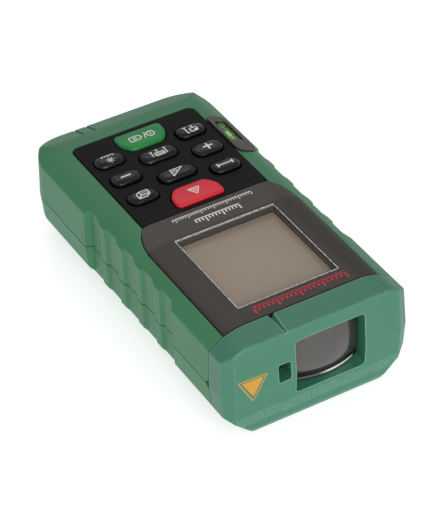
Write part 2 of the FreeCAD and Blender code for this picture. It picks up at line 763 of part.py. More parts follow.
def lower_housing():
    """The lower shell: keel, battery bay, screw bosses and the lip that lines up both shells."""
    shell = start_body("lower_housing")
    open_front = f"{SEAM} - {CLEAR}"
    pad(shell, "lower_block", "XY", "-1", SPLIT_LOW, [plan(open_front)], taper=LOWER_DRAFT, down=True)
    trim_square(shell, "lower_seam", f"{open_front} - 1", SEAM)
    pocket(shell, "lower_keel", "XZ", open_front, f"{TAIL} + {CLEAR}", keel_cuts())
    pocket(shell, "lower_flat", "XZ", open_front, f"{TAIL} + {CLEAR}", [below_ground()])
    pocket(shell, "tail_keel_cut", "YZ", f"-({HALF} + {CLEAR})", f"{HALF} + {CLEAR}", [[
        (f"{TAIL} + tail_keel", "2 * tail_keel"), (f"{TAIL} - 2 * tail_keel", "-tail_keel"),
        (f"{TAIL} + tail_keel", "-tail_keel")]])
    soften(shell, "keel_rounding", "keel_edge", outer_edges(SPLIT_LOW, SEAM))
    pocket(shell, "lower_grips", "XY", f"-{CLEAR}", SPLIT_LOW, grip_cuts())
    soften(shell, "lower_grip_rounding", "grip_edge", grip_edges)
    bay_side = f"{BAY_HALF} + bay_wall"
    channel_end = f"{TAIL} - tail_wall - 4"
    pocket(shell, "well", "XY", "well_step", "parting_height + 1", [both_sides([
        (CAVITY_HALF, open_front), (CAVITY_HALF, channel_end, "well_round"),
        (bay_side, channel_end), (bay_side, f"{BAY_FRONT} - bay_wall")])])
    pocket(shell, "well_floor", "XY", "floor_wall", "well_step + 1", [block(
        f"-({HALF} - keel_run - 0.4)", f"{HALF} - keel_run - 0.4", open_front, f"{BAY_FRONT} - bay_wall")])
    pad(shell, "lip", "XY", f"{SPLIT_LOW} - 1", "parting_height + lip_height - lip_clearance", [lip_band()])
    for k, (across, along) in enumerate(boss_places()):
        pad(shell, f"lower_boss_{k}", "XY", "well_step - 0.5", SPLIT_LOW, [(across, along, "boss_radius")])
    pocket(shell, "boss_bores", "XY", "-1", "parting_height + 1",
           [(across, along, "screw_radius + screw_play") for across, along in boss_places()])
    pocket(shell, "screw_seats", "XY", f"-{CLEAR}", "screw_seat",
           [(across, along, "screw_head + screw_play") for across, along in boss_places()])
    pocket(shell, "battery_bay", "XY", f"-{CLEAR}", BAY_TOP,
           [block(f"-{BAY_HALF}", BAY_HALF, BAY_FRONT, BAY_REAR)])
    pocket(shell, "door_opening", "YZ", f"-({BAY_HALF} + door_gap)", f"{BAY_HALF} + door_gap", [door_opening()])
    pocket(shell, "label_bed", "XY", f"-{CLEAR}", "label_recess", [block(
        "-(label_half + 0.2)", "label_half + 0.2", f"{SEAM} + label_start - 0.2",
        f"{SEAM} + label_start + label_length + 0.2", "label_round + 0.2")])
    cut_seam_notches(shell)


def battery_door():
    """The sliding door under the batteries, which turns up at the tail, with a ribbed thumb pad."""
    door = start_body("battery_door")
    front = f"{BAY_FRONT} + door_gap"
    turn = f"((tail_keel - parting_height * {KEEL_SLOPE}) / (1 - {KEEL_SLOPE}))"
    pad(door, "door_plate", "YZ", f"-({BAY_HALF})", BAY_HALF, [[
        (front, "0"), (f"{TAIL} - tail_keel", "0"), (f"{TAIL} - tail_keel + {turn}", turn),
        (tail_at("door_end_height"), "door_end_height"), (f"{TAIL} - door_end_wall", "door_end_height"),
        (f"{TAIL} - door_end_wall", "tail_keel + door_turn"), (f"{TAIL} - tail_keel - 0.8", "door_thick"),
        (front, "door_thick")]])
    ridges = [block("-ridge_half", "ridge_half", f"{TAIL} - ridge_inset + {k} * ridge_pitch",
                    f"{TAIL} - ridge_inset + ({k} + 0.5) * ridge_pitch") for k in range(RIDGES)]
    pocket(door, "thumb_ridges", "XY", f"-{CLEAR}", "ridge_depth", ridges)


def receiver_opening(spread):
    """The window over the receiving lens, seen along the meter and spread on every side."""
    return block(f"lens_across - window_width / 2 - {spread}", f"lens_across + window_width / 2 + {spread}",
                 f"window_up - window_tall / 2 - {spread}", f"window_up + window_tall / 2 + {spread}",
                 f"window_round + {spread}")


def beam_opening(spread):
    """The window that the beam leaves by, seen along the meter and spread on every side."""
    return block(f"beam_across - beam_width / 2 - {spread}", f"beam_across + beam_width / 2 + {spread}",
                 f"lens_up - beam_tall / 2 - {spread}", f"lens_up + beam_tall / 2 + {spread}",
                 f"beam_round + {spread}")


def front_cap():
    """The separate nose piece with the two optical windows and the sighting notch."""
    cap = start_body("front_cap")
    rear = f"({SEAM} - seam_gap)"
    ahead = f"{NOSE} - {CLEAR}"
    across = (f"-({HALF} + {CLEAR})", f"{HALF} + {CLEAR}")
    nose_plan = both_sides([(f"{HALF} - cheek_width", NOSE), (HALF, f"{NOSE} + cheek_length"),
                            (HALF, f"{rear} + {CLEAR}")])
    pad(cap, "nose_upper", "XY", "parting_height", "body_height + 1", [nose_plan], taper=UPPER_DRAFT)
    pad(cap, "nose_lower", "XY", "-1", "parting_height", [nose_plan], taper=LOWER_DRAFT, down=True)
    trim_square(cap, "nose_seam", rear, f"{rear} + {CLEAR} + 1")
    pocket(cap, "nose_crown", "XZ", ahead, f"{SEAM} + {CLEAR}", [crown_cut()])
    pocket(cap, "nose_keel", "XZ", ahead, f"{SEAM} + {CLEAR}", keel_cuts())
    pocket(cap, "nose_flat", "XZ", ahead, f"{SEAM} + {CLEAR}", [below_ground()])
    fall = "((body_height - brow_height) / cap_depth)"
    pocket(cap, "brow", "YZ", *across, [[
        (f"{NOSE} - 2", f"brow_height - 2 * {fall}"), (f"{SEAM} + 2", f"body_height + 2 * {fall}"),
        (f"{SEAM} + 2", f"body_height + {CLEAR}"), (f"{NOSE} - 2", f"body_height + {CLEAR}")]])
    pocket(cap, "chin", "YZ", *across, [[
        (f"{NOSE} - chin_run", "2 * chin_height"), (f"{NOSE} - chin_run", "-chin_height"),
        (f"{NOSE} + 2 * chin_run", "-chin_height")]])
    soften(cap, "nose_rounding", "nose_edge", outer_edges("parting_height", rear))
    pocket(cap, "nose_cavity", "XZ", f"{NOSE} + cap_wall", f"{SEAM} + 1", [both_sides([
        (f"{HALF} - keel_run", "floor_wall"), (CAVITY_HALF, "keel_height - 1"),
        (CAVITY_HALF, "shoulder_height - 2"), (f"{HALF} - crown_inset", "body_height - 2.4")])])
    collar = (f"{NOSE} + cap_wall - 0.5", f"{NOSE} + collar_length")
    pad(cap, "receiver_collar", "XZ", *collar, [receiver_opening("collar_wall")])
    pad(cap, "beam_collar", "XZ", *collar, [beam_opening("collar_wall")])
    pocket(cap, "receiver_window", "XZ", ahead, SEAM, [receiver_opening("0")])
    pocket(cap, "beam_window", "XZ", ahead, SEAM, [beam_opening("0")])
    sight = "(beam_across + 1)"
    pocket(cap, "sight_groove", "XZ", ahead, f"{SEAM} + 1", [[
        (f"{sight} - sight_width", "body_height + 1"), (sight, "body_height - sight_depth - 0.6"),
        (f"{sight} + sight_width", "body_height + 1")]])


def cap_gasket():
    """The dark seal in the seam between the nose and the shells."""
    seal = start_body("cap_gasket")
    pad(seal, "gasket_band", "XZ", f"{SEAM} - seam_gap", SEAM, [
        both_sides([(f"{HALF} - keel_run - 0.4", "0.9"), (f"{HALF} - 1.2", "keel_height"),
                    (f"{HALF} - 1.2", "shoulder_height - 0.8"), (f"{HALF} - crown_inset", "body_height - 0.9")]),
        both_sides([(f"{HALF} - keel_run", "floor_wall + 0.2"), (f"{CAVITY_HALF} + 0.2", "keel_height"),
                    (f"{CAVITY_HALF} + 0.2", "shoulder_height - 1.6"),
                    (f"{HALF} - crown_inset", "body_height - 2.2")])])


# ---- Top panels and display -----------------------------------------------------------------------

def display_bezel():
    """The dark cover round the display, which follows the crown."""
    bezel = start_body("display_bezel")
    pad(bezel, "bezel_block", "XY", "deck_height", "body_height + 1", [both_sides(bezel_sides(SEAM, "0"))])
    pocket(bezel, "bezel_crown", "XZ", f"{SEAM} - {CLEAR}", f"{TAIL} + {CLEAR}", [crown_cut()])
    view = [corner + ("view_round",) for corner in display_block("0")]
    pocket(bezel, "view_opening", "XY", "deck_height - 1", f"body_height + {CLEAR}", [view])


def keypad_panel():
    """The black plate that the keys stand in."""
    panel = start_body("keypad_panel")
    pad(panel, "keypad_plate", "XY", "deck_height", "body_height", [both_sides([
        (KEYPAD_HALF, f"{PANEL_FRONT} + seam_gap"), (KEYPAD_HALF, PANEL_REAR, "keypad_round")])])
    pocket(panel, "key_windows", "XY", "deck_height - 1", f"body_height + {CLEAR}",
           [corners("key_gap") for corners, across, along in KEYS.values()])


def display_parts():
    """The clear window, the display in its dark frame and the strip that joins it to the board."""
    window = start_body("display_window")
    pad(window, "window_plate", "XY", "deck_height", "body_height - window_sink",
        [[corner + ("view_round",) for corner in display_block("-window_gap")]])
    frame = start_body("lcd_frame")
    pad(frame, "frame_block", "XY", "lcd_frame_low", "deck_height", [display_block("(lcd_border + lcd_frame_wall)")])
    pocket(frame, "frame_bed", "XY", "lcd_frame_low - 1", "lcd_top", [display_block("lcd_border")])
    pocket(frame, "frame_view", "XY", "lcd_top - 1", "deck_height + 1", [display_block("-lcd_lip")])
    panel = start_body("lcd_panel")
    pad(panel, "lcd_glass", "XY", "lcd_top - lcd_thick", "lcd_top", [display_block("lcd_border")])
    rear = f"{SEAM} + view_start + view_length"
    strip = box("lcd_strip", "-connector_half", "connector_half", f"{rear} - 1 - connector_thick", f"{rear} - 1",
                "board_top", "lcd_top - lcd_thick")
    keep(strip, "lcd_connector")


def key(name, corners, across, along):
    """One key: the cap, the flange that keeps it in and the stem over its dome."""
    body = start_body(name)
    flange_top = "(deck_height - key_stop_gap)"
    flange_low = f"({flange_top} - key_flange_thick)"
    pad(body, name + "_cap", "XY", flange_low, "key_top", [corners("0")])
    soften(body, name + "_edge", "key_edge", top_edges("key_top"))
    pad(body, name + "_flange", "XY", flange_low, flange_top, [corners("key_flange")])
    pad(body, name + "_stem", "XY", "board_top + dome_height + key_travel + 0.05", f"{flange_low} + 0.2",
        [(across, along, "key_stem")])


# ---- Boards ---------------------------------------------------------------------------------------

def boards():
    """The main board with its domes, chips and buzzer, and its screws."""
    board = start_body("main_board")
    half = f"({HALF} - crown_inset - board_margin)"
    pad(board, "board_plate", "XY", "board_top - board_thick", "board_top",
        [block(f"-{half}", half, f"{SEAM} + board_start", f"{TAIL} - board_tail_gap", "board_round")])
    pocket(board, "board_holes", "XY", "board_top - board_thick - 1", "board_top + 1",
           [(across, along, "post_hole + 0.2") for across, along in post_places()])
    group("dome_switches", [rod(f"dome_{k}", across, along, "board_top", "dome_height", "dome_radius",
                                end_radius="dome_radius - 0.8")
                            for k, (corners, across, along) in enumerate(KEYS.values())])
    under = "(board_top - board_thick)"
    chips = [("0", f"{PANEL_FRONT} + 12", "chip_size"), ("-10", f"{PANEL_FRONT} + 26", "chip_size / 2"),
             ("10", f"{PANEL_FRONT} - 15", "chip_size / 2"), ("9", f"{PANEL_FRONT} + 30", "chip_size / 3")]
    group("board_chips", [box(f"chip_{k}", f"{x} - {size} / 2", f"{x} + {size} / 2", f"{y} - {size} / 2",
                              f"{y} + {size} / 2", f"{under} - chip_thick", under)
                          for k, (x, y, size) in enumerate(chips)])
    keep(rod("buzzer_can", "-11", f"{PANEL_FRONT} - 15", f"{under} - buzzer_thick", "buzzer_thick",
             "buzzer_radius"), "buzzer")
    screws = []
    for k, (across, along) in enumerate(post_places()):
        head = rod(f"board_screw_head_{k}", across, along, f"{under} - screw_head_thick", "screw_head_thick",
                   "screw_head")
        shank = rod(f"board_screw_shank_{k}", across, along, under, "board_thick + 2.5", "post_hole")
        screws.append(fuse(f"board_screw_{k}", head, shank))
    group("board_screws", screws)


def housing_screws():
    """The four long screws that hold the shells together, driven from below."""
    screws = []
    for k, (across, along) in enumerate(boss_places()):
        head = rod(f"screw_head_{k}", across, along, "screw_seat - screw_head_thick", "screw_head_thick",
                   "screw_head")
        shank = rod(f"screw_shank_{k}", across, along, "screw_seat", "lower_ceiling - 1.5 - screw_seat",
                    "screw_radius")
        slot = f"({across})"
        arms = [box(f"screw_{k}_slot_{turn}", f"{slot} - {wide}", f"{slot} + {wide}", f"{along} - {deep}",
                    f"{along} + {deep}", "screw_seat - screw_head_thick - 1", "screw_seat - screw_head_thick + 0.8")
                for turn, (wide, deep) in enumerate(((1.2, 0.25), (0.25, 1.2)))]
        screws.append(cut(f"housing_screw_{k}", fuse(f"screw_blank_{k}", head, shank),
                          fuse(f"screw_cross_{k}", *arms)))
    group("housing_screws", screws)


def rating_plate():
    """The blank plate let into the underside."""
    plate = start_body("rating_plate")
    pad(plate, "label_blank", "XY", "label_recess - label_thick", "label_recess", [block(
        "-label_half", "label_half", f"{SEAM} + label_start", f"{SEAM} + label_start + label_length",
        "label_round")])


# ---- Optics ---------------------------------------------------------------------------------------

def lens_block(name, front, back, spread):
    """A block round the receiving lens, wider than it on every side by the spread."""
    return box(name, f"lens_across - lens_half - {spread}", f"lens_across + lens_half + {spread}", front, back,
               f"window_up - lens_tall_half - {spread}", f"window_up + lens_tall_half + {spread}")


def receiver():
    """The square-cut receiving lens in its ring, with the photodiode at its focus."""
    blank = lens_block("lens_blank", f"{NOSE} + lens_sink", PLATE_FRONT, "0")
    ball = doc.addObject("Part::Sphere", "lens_ball")
    hold(ball, "Radius", "lens_dome")
    for axis, text in (("x", "lens_across"), ("y", f"{NOSE} + lens_sink + lens_dome"), ("z", "lens_up")):
        hold(ball, f"Placement.Base.{axis}", text)
    keep(common("lens_form", blank, ball), "receiver_lens")
    front = f"{PLATE_FRONT} - ring_length"
    band = lens_block("ring_band", front, PLATE_FRONT, "ring_wall")
    keep(cut("ring_form", band, lens_block("ring_bore", f"{front} - 1", f"{PLATE_FRONT} + 1", "0")), "lens_ring")
    focus = f"({PLATE_FRONT} + focus_length)"
    keep(rod("diode_can", "lens_across", focus, "lens_up", "diode_thick", "diode_radius", "y"), "photodiode")
    board = f"({focus} + diode_thick)"
    keep(box("receiver_plate", "lens_across - receiver_board_half", "lens_across + receiver_board_half", board,
             f"{board} + receiver_board_thick", "receiver_board_low",
             "board_top - board_thick - receiver_board_gap"), "receiver_board")


def emitter():
    """The laser module behind its collimating lens."""
    rear = f"{PLATE_FRONT} + collimator_thick"
    keep(rod("laser_barrel", "beam_across", rear, "lens_up", "laser_length", "laser_radius", "y"), "laser_module")
    keep(rod("collimator_disc", "beam_across", PLATE_FRONT, "lens_up", "collimator_thick", "collimator_radius",
             "y"), "collimator_lens")


def optical_chassis():
    """The moulded frame that holds lens, photodiode and laser in line."""
    plate = box("chassis_plate", "-chassis_half", "chassis_half", PLATE_FRONT, f"{PLATE_FRONT} + chassis_thick",
                "chassis_low", "chassis_high")
    seat = "(lens_tall_half - lens_seat)"
    cone = rod("cone_skin", "lens_across", PLATE_FRONT, "lens_up", "focus_length", f"{seat} + cone_wall / 2", "y",
               end_radius="diode_radius + cone_wall")
    sleeve = rod("sleeve_skin", "beam_across", PLATE_FRONT, "lens_up", "sleeve_length",
                 "laser_radius + laser_sleeve", "y")
    light = rod("light_cone", "lens_across", f"{PLATE_FRONT} - 0.001", "lens_up", "focus_length + 0.002",
                f"{seat} - cone_wall / 2", "y", end_radius="diode_radius")
    bore = rod("laser_bore", "beam_across", f"{PLATE_FRONT} + collimator_thick", "lens_up", "laser_length",
               "laser_radius", "y")
    eye = rod("laser_eye", "beam_across", f"{PLATE_FRONT} - 1", "lens_up", "collimator_thick + 1.5",
              "collimator_radius", "y")
    solid = fuse("chassis_solid", plate, cone, sleeve)
    keep(cut("chassis_form", solid, fuse("chassis_hollows", light, bore, eye)), "optical_chassis")


# ---- Spirit level ---------------------------------------------------------------------------------

def spirit_level():
    """The level on the right shoulder: holder, tube, end plugs, spirit and bubble."""
    holder = start_body("vial_housing")
    left, right = f"{VIAL_ACROSS} - vial_half", f"{VIAL_ACROSS} + vial_half"
    rear = f"{VIAL_FRONT} + vial_length"
    pad(holder, "holder_block", "XY", "vial_low", "body_height + 1", [block(left, right, VIAL_FRONT, rear,
                                                                          "vial_round")])
    fall = "((knee_height - shoulder_height) / (knee_inset - shoulder_inset))"
    at_left = f"(knee_height + vial_proud + {fall} * (vial_inset + vial_half - knee_inset) * 0.5)"
    at_right = f"(knee_height + vial_proud - {fall} * (knee_inset - vial_inset + vial_half) * 0.8)"
    pocket(holder, "holder_slope", "XZ", f"{VIAL_FRONT} - {CLEAR}", f"{rear} + {CLEAR}", [[
        (f"{left} - 1", f"{at_left} + ({at_left} - {at_right}) / (2 * vial_half)"),
        (f"{right} + 1", f"{at_right} - ({at_left} - {at_right}) / (2 * vial_half)"),
        (f"{right} + 1", f"body_height + {CLEAR}"), (f"{left} - 1", f"body_height + {CLEAR}")]])
    tube_front = f"({VIAL_FRONT} + tube_setback)"
    tube_rear = f"({tube_front} + tube_length)"
    pocket(holder, "tube_bed", "XZ", tube_front, tube_rear,
           [block(f"{VIAL_ACROSS} - tube_radius", f"{VIAL_ACROSS} + tube_radius", "vial_low - 1", "vial_axis")])
    pocket(holder, "tube_bore", "XZ", tube_front, tube_rear, [(VIAL_ACROSS, "vial_axis", "tube_radius")])
    view = f"({VIAL_FRONT} + view_setback)"
    pocket(holder, "level_view", "XY", "vial_axis", f"body_height + {CLEAR}", [block(
        f"{left} + view_rim", f"{right} - view_rim", view, f"{view} + vial_view", "view_rim")])

    skin = rod("tube_skin", VIAL_ACROSS, tube_front, "vial_axis", "tube_length", "tube_radius", "y")
    inside = "(tube_radius - tube_wall)"
    hollow = rod("tube_hollow", VIAL_ACROSS, f"{tube_front} - 1", "vial_axis", "tube_length + 2", inside, "y")
    keep(cut("tube_form", skin, hollow), "vial_tube")
    ends = (tube_front, f"{tube_rear} - plug_thick")
    group("vial_plugs", [rod(f"plug_{k}", VIAL_ACROSS, end, "vial_axis", "plug_thick", inside, "y")
                         for k, end in enumerate(ends)])
    bubble_up = "(vial_axis + tube_radius - tube_wall - bubble_radius - 2 * bubble_gap)"
    middle = f"({tube_front} + tube_length / 2)"
    spirit = rod("spirit_fill", VIAL_ACROSS, f"{tube_front} + plug_thick", "vial_axis",
                 "tube_length - 2 * plug_thick", inside, "y")
    swept = "(bubble_length / 2 + bubble_travel + bubble_gap)"
    channel = rod("bubble_channel", VIAL_ACROSS, f"{middle} - {swept}", bubble_up, f"2 * {swept}",
                  "bubble_radius + bubble_gap", "y")
    keep(cut("spirit_form", spirit, channel), "vial_fluid")
    keep(rod("bubble_form", VIAL_ACROSS, f"{middle} - bubble_length / 2", bubble_up, "bubble_length",
             "bubble_radius", "y"), "vial_bubble")


# ---- Batteries ------------------------------------------------------------------------------------

def batteries():
    """Three cells side by side between a sprung front contact and a flat rear one."""
    cell_up = "(door_thick + cell_rest + cell_radius)"
    cell_front = f"({BAY_FRONT} + spring_room)"
    springs = [box("spring_strip", f"-({BAY_HALF} - 0.6)", f"{BAY_HALF} - 0.6", BAY_FRONT,
                   f"{BAY_FRONT} + contact_thick", f"{cell_up} - contact_width / 2",
                   f"{cell_up} + contact_width / 2")]
    for k, (place, label) in enumerate(((-1, "left"), (0, "middle"), (1, "right"))):
        across = f"({place} * cell_pitch)"
        can = rod(f"cell_can_{k}", across, cell_front, cell_up, "cell_length", "cell_radius", "y")
        nub = rod(f"cell_nub_{k}", across, f"{cell_front} + cell_length", cell_up, "cell_nub",
                  "cell_nub_radius", "y")
        keep(fuse(f"cell_{k}", can, nub), f"battery_cell_{label}")
        springs.append(rod(f"spring_{k}", across, f"{BAY_FRONT} + contact_thick", cell_up,
                           "spring_room - contact_thick", "contact_width * 0.4", "y", end_radius="contact_width / 4"))
    keep(fuse("spring_set", *springs), "battery_springs")
    keep(box("contact_strip", f"-({BAY_HALF} - 0.6)", f"{BAY_HALF} - 0.6", f"{BAY_REAR} - contact_thick", BAY_REAR,
             f"{cell_up} - contact_width / 3", f"{cell_up} + contact_width / 2"), "battery_contacts")


upper_housing()
lower_housing()
front_cap()
cap_gasket()
battery_door()
display_bezel()
keypad_panel()
display_parts()
for name, (corners, across, along) in KEYS.items():
    key(name, corners, across, along)
boards()
housing_screws()
rating_plate()
receiver()
emitter()
optical_chassis()
spirit_level()
batteries()


def finish():
    """Check every object, then write each sub-part to its own file."""
    doc.recompute()
    for item in doc.Objects:
        if "Invalid" in item.State or "Error" in item.State:
            raise RuntimeError(f"{item.Name}: {item.State}")
    os.makedirs("parts", exist_ok=True)
    for item in PARTS:
        shape = item.Shape
        if shape.isNull() or not shape.isValid() or not shape.Solids:
            raise RuntimeError(f"{item.Label} has no valid solid")
    for item in PARTS:
        item.Shape.exportStep(f"parts/{item.Label}.step")
        print(f"{item.Label:22s} solids {len(item.Shape.Solids):2d}  volume {item.Shape.Volume:9.1f}")


finish()
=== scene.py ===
# %% [markdown]
# A pocket laser distance meter, finished around its CAD frame. The CAD parts keep their places and their
# meshes. This lesson gives each one a finish, puts domed caps in place of the ten keys, adds the printed
# marks and bright edges, and sets up a small product studio.

import math

import bmesh
import bpy
from mathutils import Matrix, Vector
from mathutils.bvhtree import BVHTree


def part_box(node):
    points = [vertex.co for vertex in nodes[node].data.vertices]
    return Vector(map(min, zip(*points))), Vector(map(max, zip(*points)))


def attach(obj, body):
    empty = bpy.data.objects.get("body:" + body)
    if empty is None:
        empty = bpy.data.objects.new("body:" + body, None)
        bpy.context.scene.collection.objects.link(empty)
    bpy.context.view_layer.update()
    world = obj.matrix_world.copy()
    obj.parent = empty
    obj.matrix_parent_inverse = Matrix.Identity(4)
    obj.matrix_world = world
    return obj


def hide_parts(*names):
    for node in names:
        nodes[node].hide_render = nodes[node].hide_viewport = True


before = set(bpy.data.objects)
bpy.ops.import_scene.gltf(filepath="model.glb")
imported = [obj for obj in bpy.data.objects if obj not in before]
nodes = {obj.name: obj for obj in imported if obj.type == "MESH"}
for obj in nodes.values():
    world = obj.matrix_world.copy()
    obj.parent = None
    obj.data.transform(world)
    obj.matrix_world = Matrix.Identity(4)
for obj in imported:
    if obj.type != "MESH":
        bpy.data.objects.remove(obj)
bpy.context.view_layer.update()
MM = 0.001

# %% [markdown]
# Places come from the CAD boxes. The keypad, a key, the nose, the display window and the lens give the
# numbers that printed marks and caps need, so nothing here has to be measured twice.

# %% Places
def span(node):
    """A node's lowest and highest corners as vectors."""
    low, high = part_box(node)
    return Vector(low), Vector(high)


def middle(node):
    low, high = span(node)
    return (low + high) / 2


TOP = span("keypad_panel")[1].z
KEY_TOP = span("power_key")[1].z
NOSE = span("front_cap")[0].y
VIEW_LOW, VIEW_HIGH = span("display_window")
LENS = middle("receiver_lens")
print("top", round(TOP / MM, 2), "key top", round(KEY_TOP / MM, 2), "nose", round(NOSE / MM, 2))

# %% [markdown]
# Materials are node trees, and the maths in them reads better as Python. This wrapper turns a socket into a
# value with operators, so `1 - mask` adds a Math node by itself.

# %% Shader maths
class Flow:
    """A shader socket that adds Math nodes when it is used in an expression."""

    def __init__(self, tree, socket):
        self.tree, self.socket = tree, socket

    def join(self, operation, other, swap=False):
        node = self.tree.nodes.new("ShaderNodeMath")
        node.operation = operation
        for slot, item in zip(node.inputs, (other, self) if swap else (self, other)):
            if isinstance(item, Flow):
                self.tree.links.new(item.socket, slot)
            else:
                slot.default_value = item
        return Flow(self.tree, node.outputs[0])

    def __add__(self, other):
        return self.join("ADD", other)

    def __sub__(self, other):
        return self.join("SUBTRACT", other)

    def __rsub__(self, other):
        return self.join("SUBTRACT", other, swap=True)

    def __mul__(self, other):
        return self.join("MULTIPLY", other)

    __radd__ = __add__
    __rmul__ = __mul__

    def above(self, limit):
        return self.join("GREATER_THAN", limit)

    def power(self, exponent):
        return self.join("POWER", exponent)


# %% [markdown]
# One small class makes a material: it holds the Principled shader and adds any node by its type, first its
# settings and then its sockets. Mixing colours goes through a Mix node, because a Math node would turn them
# grey.

# %% Material maker
# A Mix node's sockets for colours, by their numbers.
MIX_FACTOR, MIX_FIRST, MIX_SECOND, MIX_RESULT = 0, 6, 7, 2


class Finish:
    """A material under construction."""

    def __init__(self, name, colour=(0.5, 0.5, 0.5), roughness=0.5, **shader):
        self.material = bpy.data.materials.new(name)
        self.material.use_nodes = True
        self.tree = self.material.node_tree
        self.shader = self.tree.nodes["Principled BSDF"]
        self.shader.inputs["Base Color"].default_value = (*colour, 1)
        self.shader.inputs["Roughness"].default_value = roughness
        for socket, amount in shader.items():
            self.shader.inputs[socket.replace("_", " ")].default_value = amount
        self.place = self.node("ShaderNodeTexCoord", out="Object")

    def node(self, kind, out=0, settings=None, **sockets):
        node = self.tree.nodes.new(kind)
        for name, setting in (settings or {}).items():
            setattr(node, name, setting)
        for name, item in sockets.items():
            slot = node.inputs[name.replace("_", " ")]
            if isinstance(item, Flow):
                self.tree.links.new(item.socket, slot)
            else:
                slot.default_value = item
        return Flow(self.tree, node.outputs[out])

    def noise(self, scale, detail=2.0, roughness=0.5):
        return self.node("ShaderNodeTexNoise", settings={"noise_dimensions": "3D"}, Vector=self.place,
                         Scale=scale, Detail=detail, Roughness=roughness)

    def blend(self, mask, first, second):
        """A colour between two colours or coloured sockets, by a mask socket."""
        node = self.tree.nodes.new("ShaderNodeMix")
        node.data_type = "RGBA"
        for index, item in ((MIX_FACTOR, mask), (MIX_FIRST, first), (MIX_SECOND, second)):
            if isinstance(item, Flow):
                self.tree.links.new(item.socket, node.inputs[index])
            else:
                node.inputs[index].default_value = (*item, 1)
        return Flow(self.tree, node.outputs[MIX_RESULT])

    def feed(self, name, flow):
        self.tree.links.new(flow.socket, self.shader.inputs[name])

    def bump(self, height, strength, distance, under):
        """A fine relief on top of another normal."""
        node = self.tree.nodes.new("ShaderNodeBump")
        node.inputs["Strength"].default_value = strength
        node.inputs["Distance"].default_value = distance
        self.tree.links.new(height.socket, node.inputs["Height"])
        self.tree.links.new(under.socket, node.inputs["Normal"])
        return Flow(self.tree, node.outputs[0])

    def edge(self, radius):
        """A soft normal across sharp edges, which gives moulded corners their thin highlight."""
        return self.node("ShaderNodeBevel", settings={"samples": 6}, Radius=radius)


# %% [markdown]
# Moulded ABS has a spark-eroded grain: a fine bump, a slow drift in colour, and edges that catch light.
# Every opaque plastic here is that recipe with its own numbers, so it is one function. The colour drift is
# kept small, because a new meter is clean. On the nose cap a lighter colour is painted on as a highlight
# along the corners, where the rounded normal leans away from the flat one. The same colour dots a stippled
# strip low on the front, above one painted highlight line.

# %% Moulded plastic
GRAIN_HEIGHT = 0.06 * MM
EDGE_HIGHLIGHT_GAIN = 3.0
EDGE_HIGHLIGHT_FLOOR = 0.004
EDGE_HIGHLIGHT_MOST = 0.7
STRIP_LINE = 0.25 * MM
HIGHLIGHT_LINE_HEIGHT = 1.2 * MM
FACING_FORWARD = -0.9
DOT_SCALE = 3600.0
DOT_LIMIT = 0.53
DOT_TONE = 0.26
HIGHLIGHT_LINE_TONE = 0.42


def paint_edge_highlight(finish, shade, flat, rounded, painted_highlight_and_dots):
    """Paint a highlight colour in where the rounded normal leans away from the flat one."""
    lean = finish.node("ShaderNodeVectorMath", out="Value", settings={"operation": "DOT_PRODUCT"})
    for slot, normal in zip(lean.socket.node.inputs, (flat, rounded)):
        finish.tree.links.new(normal.socket, slot)
    # Painted highlight: the more the two normals differ, the lighter the corner is painted.
    bend = (1 - EDGE_HIGHLIGHT_FLOOR - lean).join("MAXIMUM", 0.0).power(0.5)
    return finish.blend((bend * EDGE_HIGHLIGHT_GAIN).join("MINIMUM", EDGE_HIGHLIGHT_MOST), shade, painted_highlight_and_dots)


def stipple(finish, shade, flat, painted_highlight_and_dots, low, high):
    """Dot a strip between two heights on faces that look forward, above one painted highlight line."""
    up = finish.node("ShaderNodeSeparateXYZ", out=2, Vector=finish.place)
    forward = finish.node("ShaderNodeSeparateXYZ", out=1, Vector=flat)
    facing = 1 - forward.above(FACING_FORWARD)
    dots = finish.noise(DOT_SCALE, detail=1.0).above(DOT_LIMIT) * up.above(low) * (1 - up.above(high))
    # A thin band at a fixed height is painted in the lighter colour as a painted highlight line.
    line = up.above(HIGHLIGHT_LINE_HEIGHT) * (1 - up.above(HIGHLIGHT_LINE_HEIGHT + STRIP_LINE))
    return finish.blend((dots * DOT_TONE + line * HIGHLIGHT_LINE_TONE) * facing, shade, painted_highlight_and_dots)


def moulded(name, colour, roughness, grain=2600.0, depth=0.25, drift=0.12, rounding=0.3, painted_highlight_and_dots=None,
            strip=None, **shader):
    """A moulded plastic. A painted highlight colour, which also colours the dots, comes with a strip of two
    heights.
    """
    finish = Finish(name, colour, roughness, **shader)
    cloud = finish.noise(45.0, detail=3.0)
    fine = finish.noise(grain, detail=1.5, roughness=0.6)
    lighter = tuple(min(1.0, part * (1 + drift)) for part in colour)
    darker = tuple(part * (1 - drift) for part in colour)
    shade = finish.blend(cloud * 0.6 + fine * 0.4, darker, lighter)
    rounded = finish.edge(rounding * MM)
    if painted_highlight_and_dots:
        flat = finish.node("ShaderNodeNewGeometry", out="True Normal")
        shade = paint_edge_highlight(finish, shade, flat, rounded, painted_highlight_and_dots)
        shade = stipple(finish, shade, flat, painted_highlight_and_dots, *strip)
    finish.feed("Base Color", shade)
    finish.feed("Roughness", fine * 0.16 + (roughness - 0.08))
    finish.feed("Normal", finish.bump(fine, depth, GRAIN_HEIGHT, under=rounded))
    return finish.material


